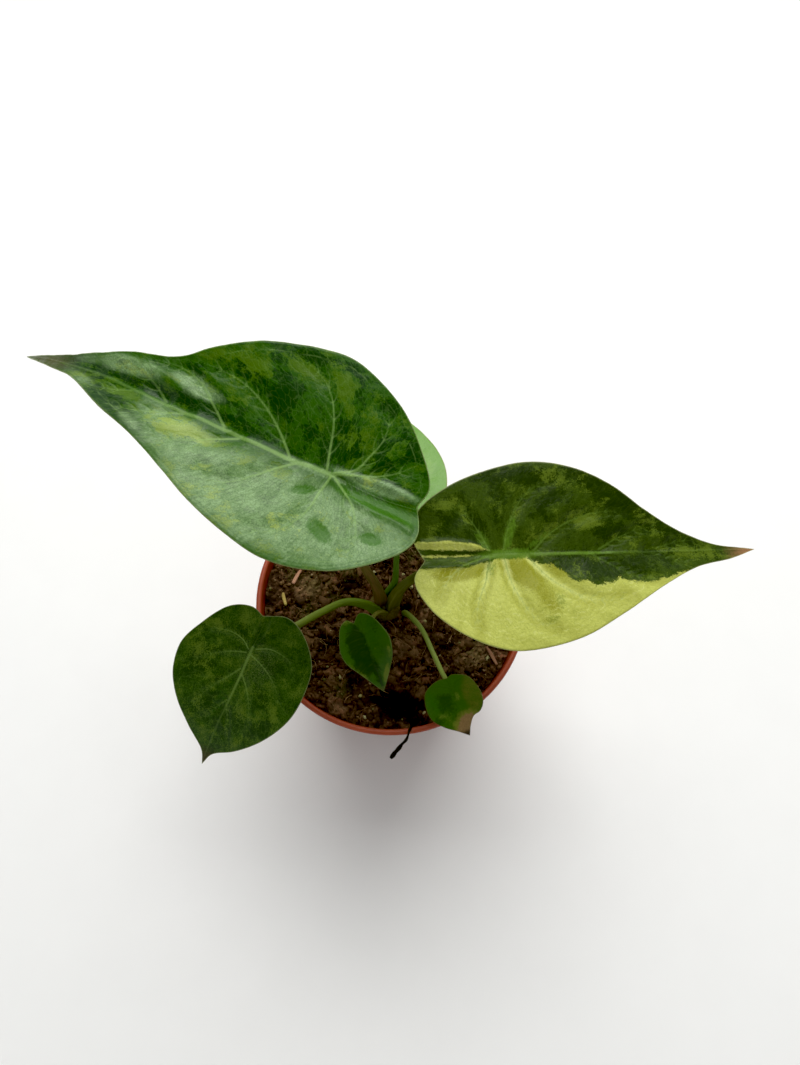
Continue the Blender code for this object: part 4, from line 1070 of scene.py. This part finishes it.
def leafFace(node, look):
    paint = Paint(leaves[node]["piece"] + "Face", roughness=look["rough"], shine=look["shine"])
    place, ribs = paint.vector("place"), paint.vector("ribs")
    vein, twig, inset = paint.value("vein"), paint.value("twig"), paint.value("inset")
    # blocky jitter along the side ribs keeps the patches' outlines ragged
    block = paint.sum(paint.cells(paint.stretch(ribs, (0.26, 0.36, 1.0)), 1.0, output="Color"), 0.5, "SUBTRACT")
    small = paint.sum(paint.cells(paint.stretch(ribs, (0.8, 1.0, 1.0)), 1.0, output="Color"), 0.5, "SUBTRACT")
    soft = paint.sum(paint.noise(place, 0.13, 4.0, 0.6, 0.4), 0.5, "SUBTRACT")
    fine = paint.sum(paint.noise(place, 0.55, 5.0, 0.7), 0.5, "SUBTRACT")
    tile = paint.cells(paint.stretch(paint.bend(ribs, 0.25, 7.0), (0.14, 0.17, 1.0)), 1.0, output="Color")
    tile = paint.sum(paint.sum(tile, 0.5, "SUBTRACT"), look["tiles"], "MULTIPLY")
    speck = paint.sum(paint.noise(place, 2.2, 4.0, 0.75), 0.5, "SUBTRACT")
    jitter = paint.sum(paint.sum(block, 0.34, "MULTIPLY"), paint.sum(soft, 1.9, "MULTIPLY"))
    jitter = paint.sum(jitter, paint.sum(tile, paint.sum(speck, look["specks"], "MULTIPLY")))
    jitter = paint.sum(jitter, paint.sum(small, 0.22, "MULTIPLY"))
    jitter = paint.sum(jitter, paint.sum(fine, 1.5, "MULTIPLY"))
    loose = paint.sum(jitter, look["patchy"], "MULTIPLY")
    darkShare = paint.ramp(paint.sum(paint.value("dark"), loose), 0.15, 0.55)
    colour = paint.mix(paint.sum(darkShare, 0.9, "MULTIPLY"), look["green"], look["dark"])
    lightShare = paint.ramp(paint.sum(paint.value("light"), loose, "SUBTRACT"), 0.25, 0.85)
    colour = paint.mix(paint.sum(lightShare, 0.9, "MULTIPLY"), colour, look["light"])
    streak = paint.noise(paint.stretch(ribs, (0.9, 0.16, 1.0)), 1.0, 4.0, 0.65)
    colour = paint.mix(paint.ramp(streak, 0.45, 0.75, 0.0, 0.12), colour, look["light"])
    sheenAndToneShare = paint.ramp(paint.sum(paint.value("sheenAndTone"), paint.sum(jitter, 0.3, "MULTIPLY")), 0.2, 0.85)
    if node == "blade_2_variegated":
        colour = creamParts(paint, colour, place, ribs, sheenAndToneShare, jitter, look)
    else:
        lines = paint.cells(paint.bend(place, 0.7, 1.4), 0.9, feature="DISTANCE_TO_EDGE")
        # painted sheen on blades 1 and 6: the window's pale reflection, streaked and broken up; on blades 3 and 5 a
        # paler tone of the leaf
        sheenAndToneMix = paint.sum(sheenAndToneShare, paint.ramp(streak, 0.3, 0.7, 0.62, 1.0), "MULTIPLY")
        sheenAndToneMix = paint.sum(sheenAndToneMix, paint.ramp(paint.noise(place, 0.22, 5.0, 0.7), 0.35, 0.62, 0.62, 1.0), "MULTIPLY")
        sheenAndToneMix = paint.sum(sheenAndToneMix, paint.ramp(lines, 0.0, 0.14, 0.72, 1.0), "MULTIPLY")
        sheenAndToneMix = paint.sum(sheenAndToneMix, paint.ramp(speck, -0.25, 0.1, 1.1, 0.8), "MULTIPLY")
        colour = paint.mix(paint.sum(sheenAndToneMix, look["sheenAndToneMix"], "MULTIPLY"), colour, look["sheenAndTone"])
        if node == "blade_1_large":
            both = paint.sum(paint.sum(sheenAndToneShare, lightShare, "MULTIPLY"), 0.6, "MULTIPLY")
            colour = paint.mix(both, colour, screen(150, 166, 70))
    ragged = paint.sum(paint.sum(paint.noise(paint.stretch(ribs, (0.9, 0.5, 1.0)), 1.0, 4.0, 0.75), 0.5, "SUBTRACT"), 1.3, "MULTIPLY")
    freshShare = paint.ramp(paint.sum(paint.value("fresh"), ragged), 0.3, 0.75)
    colour = paint.mix(paint.sum(freshShare, 0.9, "MULTIPLY"), colour, look["fresh"])
    veinShare = paint.sum(paint.ramp(vein, 0.15, 0.9), look["veinShow"], "MULTIPLY")
    veinShare = paint.sum(veinShare, paint.ramp(paint.value("front"), 0.2, 0.6, 1.0, 0.3), "MULTIPLY")
    colour = paint.mix(veinShare, colour, look["vein"])
    colour = paint.mix(paint.ramp(twig, 0.2, 1.0, 0.0, 0.3), colour, look["vein"])
    grain = paint.noise(place, 0.9, 4.0, 0.6)
    dry = paint.sum(paint.value("front"), paint.sum(grain, 0.08, "MULTIPLY"))
    colour = paint.mix(paint.ramp(dry, look["tipStart"], look["tipStart"] + 0.14, 0.0, 0.85), colour, look["tip"])
    if node == "blade_5_round":
        colour = deadParts(paint, colour, place)
    if node == "blade_3_heart":
        dust = paint.ramp(paint.noise(place, 3.0, 3.0, 0.75), 0.58, 0.64)
        dust = paint.sum(dust, paint.ramp(paint.sum(paint.value("sheenAndTone"), fine), 0.2, 0.9, 0.1, 0.9), "MULTIPLY")
        colour = paint.mix(dust, colour, screen(132, 140, 92))
    # the margin: a dark hem, a paler band and a fine vein that runs along it
    rim = paint.sum(inset, paint.sum(soft, 1.6, "MULTIPLY"))
    hem = paint.sum(paint.ramp(rim, 0.3, 0.5), paint.ramp(rim, 0.7, 1.1, 1.0, 0.0), "MULTIPLY")
    inner = paint.sum(paint.ramp(rim, 1.3, 1.6), paint.ramp(rim, 1.7, 2.1, 0.6, 0.0), "MULTIPLY")
    colour = paint.mix(paint.sum(paint.sum(hem, inner), look["hem"], "MULTIPLY"), colour, look["green"])
    line = paint.sum(paint.ramp(rim, 2.6, 2.9), paint.ramp(rim, 3.0, 3.3, 0.45, 0.0), "MULTIPLY")
    line = paint.sum(line, paint.ramp(soft, -0.05, 0.15), "MULTIPLY")
    colour = paint.mix(paint.sum(line, look["hem"], "MULTIPLY"), colour, look["vein"])
    colour = paint.mix(paint.ramp(inset, 0.36, 0.08, 0.0, 0.55), colour, look["edge"])
    net = paint.cells(paint.bend(paint.stretch(ribs, (0.42, 0.36, 1.0)), 1.2, 0.9), 1.0, feature="DISTANCE_TO_EDGE")
    mesh = paint.cells(paint.bend(place, 0.8, 1.2), 1.0, feature="DISTANCE_TO_EDGE")
    colour = paint.mix(paint.ramp(net, 0.0, 0.07, look["net"], 0.0), colour, look["vein"])
    colour = paint.mix(paint.ramp(speck, -0.02, 0.2, 0.0, 0.3), colour, look["dark"])
    normal = paint.bumps(paint.ramp(net, 0.0, 0.25), 0.09 * look["relief"], 0.7)
    normal = paint.bumps(paint.ramp(mesh, 0.0, 0.3), 0.035 * look["relief"], 0.8, normal)
    normal = paint.bumps(paint.noise(place, 4.5, 3.0), 0.03 * look["relief"], 0.8, normal)
    rough = paint.ramp(paint.noise(place, 0.35, 4.0), 0.3, 0.7, look["rough"] - 0.05, look["rough"] + 0.06)
    return paint.finish(colour=colour, roughness=rough, normal=normal)


creamLooks = dict(pale=screen(182, 188, 94), deep=screen(126, 128, 24), vein=screen(200, 205, 126),
                  spot=screen(96, 114, 34), shade=screen(132, 136, 44),
                  spots=[(17, -23.5, 3.4, 1.6, 20, 0.7), (21, -17, 1.7, 3, 0, 0.75), (15, -20, 2, 1.2, 0, 0.4), (25, -21, 2.4, 0.9, 0, 0.4)])


def creamParts(paint, colour, place, ribs, sheenAndToneShare, jitter, look):
    calm = paint.ramp(paint.value("front"), -0.05, 0.12, 0.9, 2.2)
    side = paint.sum(paint.value("cream"), paint.sum(paint.sum(jitter, 0.08, "SUBTRACT"), calm, "MULTIPLY"))
    share = paint.ramp(side, -0.3, 0.35)
    tone = paint.noise(paint.stretch(ribs, (0.12, 0.1, 1.0)), 1.0, 5.0, 0.6, 0.4)
    cream = paint.mix(paint.ramp(tone, 0.4, 0.75, 0.0, 0.35), creamLooks["pale"], creamLooks["deep"])
    cream = paint.mix(paint.sum(sheenAndToneShare, 0.9, "MULTIPLY"), cream, creamLooks["deep"])
    cream = paint.mix(paint.ramp(paint.noise(place, 1.4, 5.0, 0.7), 0.35, 0.7, 0.0, 0.22), cream, creamLooks["shade"])
    ragged = paint.sum(paint.sum(paint.noise(place, 1.3, 4.0, 0.75), 0.5, "SUBTRACT"), 2.6, "MULTIPLY")
    spots = paint.ramp(paint.sum(paint.value("spots"), ragged), 0.25, 0.9)
    cream = paint.mix(paint.sum(spots, 0.6, "MULTIPLY"), cream, creamLooks["spot"])
    # fine veins that follow the margin, broken by noise, with painted shade in the troughs between them
    inset = paint.value("inset")
    waves = paint.sum(paint.sum(inset, paint.sum(paint.noise(place, 0.3, 2.0), 5.0, "MULTIPLY")), 3.3, "MULTIPLY")
    arcs = paint.ramp(paint.sum(waves, 0.0, "SINE"), 0.55, 0.98)
    arcs = paint.sum(arcs, paint.ramp(paint.noise(place, 0.5, 2.0), 0.4, 0.62), "MULTIPLY")
    arcs = paint.sum(arcs, paint.sum(paint.ramp(inset, 1.0, 3.0), paint.ramp(inset, 12.0, 18.0, 1.0, 0.0), "MULTIPLY"), "MULTIPLY")
    cream = paint.mix(paint.sum(arcs, 0.4, "MULTIPLY"), cream, creamLooks["vein"])
    troughs = paint.sum(paint.sum(waves, 3.14, "ADD"), 0.0, "SINE")
    cream = paint.mix(paint.ramp(troughs, 0.6, 1.0, 0.0, 0.16), cream, creamLooks["shade"])
    net = paint.cells(paint.bend(paint.stretch(ribs, (0.42, 0.36, 1.0)), 1.2, 0.9), 1.0, feature="DISTANCE_TO_EDGE")
    cream = paint.mix(paint.ramp(net, 0.0, 0.1, 0.1, 0.0), cream, creamLooks["shade"])
    cream = paint.mix(paint.ramp(paint.value("twig"), 0.2, 1.0, 0.0, 0.5), cream, creamLooks["vein"])
    # painted shade in the valleys beside each vein, then the vein's pale core
    groove = paint.value("groove")
    cream = paint.mix(paint.sum(paint.ramp(groove, 0.05, 0.4), paint.ramp(groove, 0.5, 0.8, 0.32, 0.0), "MULTIPLY"),
                      cream, creamLooks["deep"])
    cream = paint.mix(paint.ramp(groove, 0.6, 1.0, 0.0, 0.55), cream, creamLooks["vein"])
    cream = paint.mix(paint.ramp(paint.value("vein"), 0.1, 0.7, 0.0, 0.35), cream, creamLooks["vein"])
    return paint.mix(share, colour, cream)


def deadParts(paint, colour, place):
    dead = paint.value("dead")
    wobble = paint.sum(paint.sum(paint.noise(place, 0.9, 4.0), 0.5, "SUBTRACT"), 2.4, "MULTIPLY")
    side = paint.sum(dead, wobble)
    colour = paint.mix(paint.ramp(side, -2.6, 0.0, 0.0, 0.7), colour, screen(120, 118, 44))
    tan = paint.mix(paint.noise(place, 1.2, 4.0), screen(150, 122, 80), screen(112, 86, 52))
    colour = paint.mix(paint.ramp(side, -0.5, 0.6), colour, tan)
    return paint.mix(paint.ramp(paint.value("front"), 0.82, 0.93), colour, screen(52, 36, 22))


def leafBack(node, look):
    paint = Paint(leaves[node]["piece"] + "Back", roughness=0.55, shine=0.35)
    place, ribs = paint.vector("place"), paint.vector("ribs")
    soft = paint.noise(paint.stretch(ribs, (0.06, 0.08, 1.0)), 1.0, 4.0, 0.6, 0.5)
    shade = tuple(0.7 * c for c in look["under"][:3]) + (1.0,)
    colour = paint.mix(paint.ramp(soft, 0.35, 0.65), look["under"], shade)
    pale = tuple(min(1.0, 1.35 * c) for c in look["under"][:3]) + (1.0,)
    colour = paint.mix(paint.ramp(paint.value("vein"), 0.15, 0.9, 0.0, 0.85), colour, pale)
    net = paint.cells(paint.stretch(ribs, (0.36, 0.3, 1.0)), 1.0, feature="DISTANCE_TO_EDGE")
    normal = paint.bumps(paint.ramp(net, 0.0, 0.2, 1.0, 0.0), 0.2, 0.7)
    normal = paint.bumps(paint.noise(place, 3.0, 3.0), 0.06, 0.8, normal)
    return paint.finish(colour=colour, normal=normal)


creamEdge = [(-30, -4.6), (-17.2, -5), (-7.9, -4.3), (0, -2.6), (6.4, -1.6), (12.6, -2.2), (18.7, -4.6), (24.7, -7.6),
             (27, -10.4), (31, -10.6), (34, -12.6), (38, -11.6), (43.2, -10), (48.1, -10.9), (54.2, -10.8),
             (59.7, -9.9), (64.3, -9.5), (68.3, -8.4), (74.6, -6.2), (84, -5.5), (100, -6)]
creamTongue = [(-27, 4.3), (-15, 4.3), (-6, 2.9), (-1, 0.9), (-8, 1.2), (-16, 1.5), (-27, 1.6)]
creamLine = [(-27, 0.1), (-12, -0.3), (-4, -0.7), (-12, -1.1), (-27, -1.0)]
deadPatch = [(15.7, -3.9), (12.1, -1.4), (10.8, 0.2), (10.6, 3.5), (12.5, 6), (17, 3), (22, 0), (19, -3)]


def insideDistance(spots, outline):
    # distance to the outline, above 0 inside it
    closed = np.array(list(outline) + [outline[0]], float)
    away, _ = lineDistance(spots, closed)
    inside = np.zeros(len(spots), bool)
    for a, b in zip(closed, closed[1:]):
        crosses = (a[1] > spots[:, 1]) != (b[1] > spots[:, 1])
        edgeX = a[0] + (spots[:, 1] - a[1]) * (b[0] - a[0]) / (b[1] - a[1] if b[1] != a[1] else 1e-9)
        inside ^= crosses & (spots[:, 0] < edgeX)
    return np.where(inside, away, -away)


def leafPlaces(piece):
    place = np.zeros(len(piece.data.vertices) * 3, np.float32)
    piece.data.attributes["place"].data.foreach_get("vector", place)
    return place.reshape(-1, 3)[:, :2].astype(float)


def addMark(piece, name, outlines):
    value = np.max([insideDistance(leafPlaces(piece), outline) for outline in outlines], axis=0)
    piece.data.attributes.new(name, "FLOAT", "POINT").data.foreach_set("value", value.astype(np.float32))


def addSpots(piece, name, marks):
    value = patches(leafPlaces(piece), marks)
    piece.data.attributes.new(name, "FLOAT", "POINT").data.foreach_set("value", value.astype(np.float32))


def makeLeaves():
    for node, leaf in leaves.items():
        look = leafLooks[node]
        piece = makeLeaf(node, leaf, [leafFace(node, look), leafBack(node, look)])
        if node == "blade_2_variegated":
            under = [*creamEdge, (110, -60), (-50, -60), (-50, -4.6)]
            addMark(piece, "cream", [under, creamTongue, creamLine])
            addSpots(piece, "spots", creamLooks["spots"])
        if node == "blade_5_round":
            addMark(piece, "dead", [deadPatch])


makeLeaves()


# --- leaf stalks, crown, dead strand and dry twigs

stalks = {
    "stalk_1": dict(blade="blade_1_large", root=2.1, top=1.6, approach=9.0, slot="stalk_brownish", wing=0.55,
                    route=[(-5.3, -2.3, -4.6), (-5.3, -2.2, -2), (-6.3, 0.2, 9), (-10.5, 2.6, 25),
                           (-15.5, 5.3, 50), (-18.8, 7.8, 72)],
                    low=screen(92, 78, 40), high=screen(104, 112, 48), streak=screen(128, 92, 56)),
    "stalk_2": dict(blade="blade_2_variegated", root=2.1, top=1.6, approach=9.0, slot="stalk_olive", wing=0.55,
                    route=[(-0.1, -3.2, -4.6), (0, -3.1, -2.5), (3.2, 0.3, 4), (9.8, 3.2, 12),
                           (17.5, 2, 25), (26, -2.5, 44)],
                    low=screen(84, 84, 28), high=screen(96, 116, 36), streak=screen(110, 112, 48)),
    "stalk_3": dict(blade="blade_3_heart", root=1.6, top=1.4, approach=6.0, slot="stalk_green", wing=0.5,
                    route=[(-6.5, -6.2, -4.6), (-6.7, -6.2, -3), (-10.5, -5.5, 2), (-19, -6.2, 8),
                           (-29, -13.4, 16), (-38, -21, 22)],
                    low=screen(86, 112, 26), high=screen(112, 120, 46), streak=screen(76, 94, 30)),
    "stalk_4": dict(blade="blade_4_folded", root=0.95, top=0.8, approach=3.5, slot="stalk_olive", wing=0.3,
                    route=[(-2.8, -7.6, -4.6), (-2.9, -7.8, -3), (-4.6, -9.8, 5), (-6.5, -13, 12),
                           (-8.8, -18, 17)],
                    low=screen(96, 96, 40), high=screen(120, 122, 50), streak=screen(80, 84, 34)),
    "stalk_5": dict(blade="blade_5_round", root=1.2, top=0.9, approach=3.0, slot="stalk_green", wing=0.2,
                    route=[(5.5, -6, -15), (6, -6.5, -7), (8.6, -10, -1.5), (13.2, -17, 3),
                           (17.5, -28, 7), (21.5, -37.5, 8.5)],
                    low=screen(88, 98, 34), high=screen(142, 160, 78), streak=screen(98, 124, 44)),
    "stalk_6": dict(blade="blade_6_rear", root=1.3, top=1.0, approach=5.0, slot="stalk_green", wing=0.3,
                    route=[(-1.9, 1.4, -4.6), (-1.9, 1.5, -2.5), (1.4, 3.6, 6), (2.3, 8.8, 20),
                           (3.8, 15.2, 38), (5.2, 19.4, 48)],
                    low=screen(84, 116, 40), high=screen(92, 128, 48), streak=screen(70, 100, 30)),
}

crown = dict(place=(-3.4, -3.0), radius=7.0, top=99.0, sunk=14.0, shoulder=1.6)

strand = [(0.6, 9.5, -49.0, -19), (0.6, 9.4, -51.5, -13), (0.6, 9.0, -54.2, -6), (0.6, 8.2, -56.8, 0.4),
          (0.6, 7.4, -59.2, 1.3), (0.6, 6.6, -61.4, 0.2), (0.7, 4.6, -63.2, -2.6), (1.0, 2.6, -65.6, -5.0),
          (1.1, 1.4, -66.8, -6.2), (0.6, 0.0, -68.2, -7.4)]

twigs = {
    "twig_1": dict(rows=[(0.6, -41.0, 16.0, -11), (0.8, -42.4, 12.4, -5.6), (0.7, -44.6, 6.3, -3.6)],
                   low=screen(150, 104, 78), high=screen(196, 150, 120)),
    "twig_2": dict(rows=[(0.5, -49.6, 4.0, -11), (0.7, -49.0, 1.4, -5.4), (0.6, -47.2, -3.7, -3.8)],
                   low=screen(140, 120, 60), high=screen(190, 170, 96)),
    "twig_3": dict(rows=[(0.5, 41.4, -20.4, -11), (0.7, 42.6, -24.0, -5.8), (0.6, 45.4, -30.4, -4.2)],
                   low=screen(104, 70, 50), high=screen(150, 112, 84)),
}


def bladeNormal(leaf):
    slope = 4 * leaf["arch"] / leaf["length"]
    turn = Euler([math.radians(leaf[k]) for k in ("roll", "dip", "heading")])
    return np.array(turn.to_matrix() @ Vector((-slope, 0.0, 1.0)).normalized())


def stalkRows(stalk):
    leaf = leaves[stalk["blade"]]
    route = [np.array((x, y, z + rimHeight)) for x, y, z in stalk["route"]]
    normal = bladeNormal(leaf)
    end = np.array(leaf["place"]) - normal * (leaf["midrib"] * 0.55)
    route += [end - normal * stalk["approach"], end]
    whole = lineLength(route)
    rows = []
    for i, point in enumerate(route):
        share = lineLength(route[: i + 1]) / whole if i else 0.0
        rows.append((stalk["root"] + (stalk["top"] - stalk["root"]) * share, *point))
    return rows


def stemMaterial(name, low, high, streak, roughness=0.42, shine=0.16):
    paint = Paint(name, roughness=roughness, shine=shine)
    where = paint.vector("stem")
    long = paint.noise(paint.stretch(where, (0.05, 1.6, 1.0)), 1.0, 4.0, 0.6)
    blotch = paint.noise(paint.stretch(where, (0.3, 0.7, 1.0)), 1.0, 4.0, 0.6)
    colour = paint.mix(paint.value("along"), low, high)
    colour = paint.mix(paint.ramp(long, 0.45, 0.68, 0.0, 0.6), colour, streak)
    colour = paint.mix(paint.ramp(blotch, 0.55, 0.75, 0.0, 0.35), colour, low)
    normal = paint.bumps(long, 0.12, 0.6)
    normal = paint.bumps(paint.noise(where, 3.0, 3.0), 0.05, 0.6, normal)
    return paint.finish(colour=colour, normal=normal)


def stemPiece(name, rows, spacing, sides, material, shape=None, grow=None, replaces=()):
    fine = smoothLine(rows, 8)
    count = max(8, round(lineLength(fine[:, 1:]) / spacing))
    places = atShares(fine, np.linspace(0, 1, count + 1))
    radii = places[:, 0].copy()
    if grow is not None:
        radii *= grow(np.linspace(0, 1, count + 1))
    points, faces, along, around = sweep(places[:, 1:], radii, sides, shape)
    length = lineLength(places[:, 1:])
    stem = np.stack([along * length, np.cos(around) * 1.5, np.sin(around) * 1.5], 1)
    return makePiece(name, points, faces, [material], {"along": along, "stem": stem}, replaces)


def makeStalks():
    for name, stalk in stalks.items():
        rows = stalkRows(stalk)
        length = lineLength([r[1:] for r in rows])
        reach = 13.0 / length

        def shape(turn, share, wing=stalk["wing"], reach=reach):
            # the sheath's two edges stand proud near the crown and run out into the stalk
            fade = math.exp(-((share / reach) ** 2))
            edges = np.exp(-(((turn - 2.2) / 0.35) ** 2)) + np.exp(-(((turn - 4.1) / 0.35) ** 2))
            channel = 0.08 * np.exp(-(((turn - 3.14) / 0.5) ** 2))
            return 1 + wing * fade * edges - channel + 0.02 * np.sin(7 * turn + 3 * share)

        def grow(share, reach=reach):
            base = 1 + 0.25 * np.exp(-((share / reach) ** 2))
            return base * (1 + 0.35 * np.clip((share - 0.97) / 0.03, 0, 1) ** 2)

        material = stemMaterial(name + "Skin", stalk["low"], stalk["high"], stalk["streak"])
        stemPiece(name + "Fine", rows, 0.7, 28, material, shape, grow, [name])
    print("stalks:", len(stalks))


def makeCrown():
    low = crown["top"] - crown["sunk"]
    wide = crown["radius"]
    profile = smoothLine([(0.01, crown["top"] + 1.4), (2.4, crown["top"] + 1.2), (wide - 2.4, crown["top"] + 0.1),
                          (wide - 0.8, crown["top"] - 1.4), (wide, crown["top"] - 3.5), (wide, crown["top"] - 7),
                          (0.8 * wide, crown["top"] - 11), (0.5 * wide, low), (0.01, low - 0.3)], 6)
    sides = 72
    turn = 2 * math.pi * np.arange(sides) / sides
    points = []
    for r, z in profile:
        fold = 1 + 0.07 * np.abs(np.sin(1.5 * turn + 0.5 + 0.05 * z)) ** 0.6 + 0.02 * np.sin(9 * turn + z)
        points.append(np.stack([crown["place"][0] + r * fold * np.cos(turn), crown["place"][1] + r * fold * np.sin(turn),
                                np.full(sides, z)], 1))
    points = np.concatenate(points)
    faces = gridFaces(len(profile), sides, closed=True)[:, ::-1]
    stem = np.stack([points[:, 2], points[:, 0], points[:, 1]], 1)
    along = (points[:, 2] - low) / crown["sunk"]
    material = stemMaterial("crownSkin", screen(60, 44, 26), screen(92, 84, 40), screen(56, 40, 26), 0.6)
    makePiece("crownFine", points, faces, [material], {"stem": stem, "along": along}, ["crown"], weld=0.03)
    print("crown")


def makeDryBits():
    paint = stemMaterial("deadStrandSkin", screen(12, 8, 4), screen(20, 18, 6), screen(52, 46, 18), 0.8, 0.08)
    rows = [(r, x, y, z + rimHeight) for r, x, y, z in strand]
    stemPiece("strandFine", rows, 0.35, 12, paint,
              lambda turn, share: 0.8 + 0.24 * np.sin(3 * turn + 21 * share) + 0.12 * math.sin(47 * share), None, ["strand"])
    for name, twig in twigs.items():
        skin = stemMaterial(name + "Bark", twig["low"], twig["high"], screen(96, 64, 44), 0.8)
        rows = [(r, x, y, z + rimHeight) for r, x, y, z in twig["rows"]]
        stemPiece(name + "Fine", rows, 0.4, 12, skin,
                  lambda turn, share: 1 + 0.14 * np.sin(2 * turn + 9 * share) + 0.06 * np.sin(5 * turn), None, [name])
    print("dead strand and twigs")


makeStalks()
makeCrown()
makeDryBits()
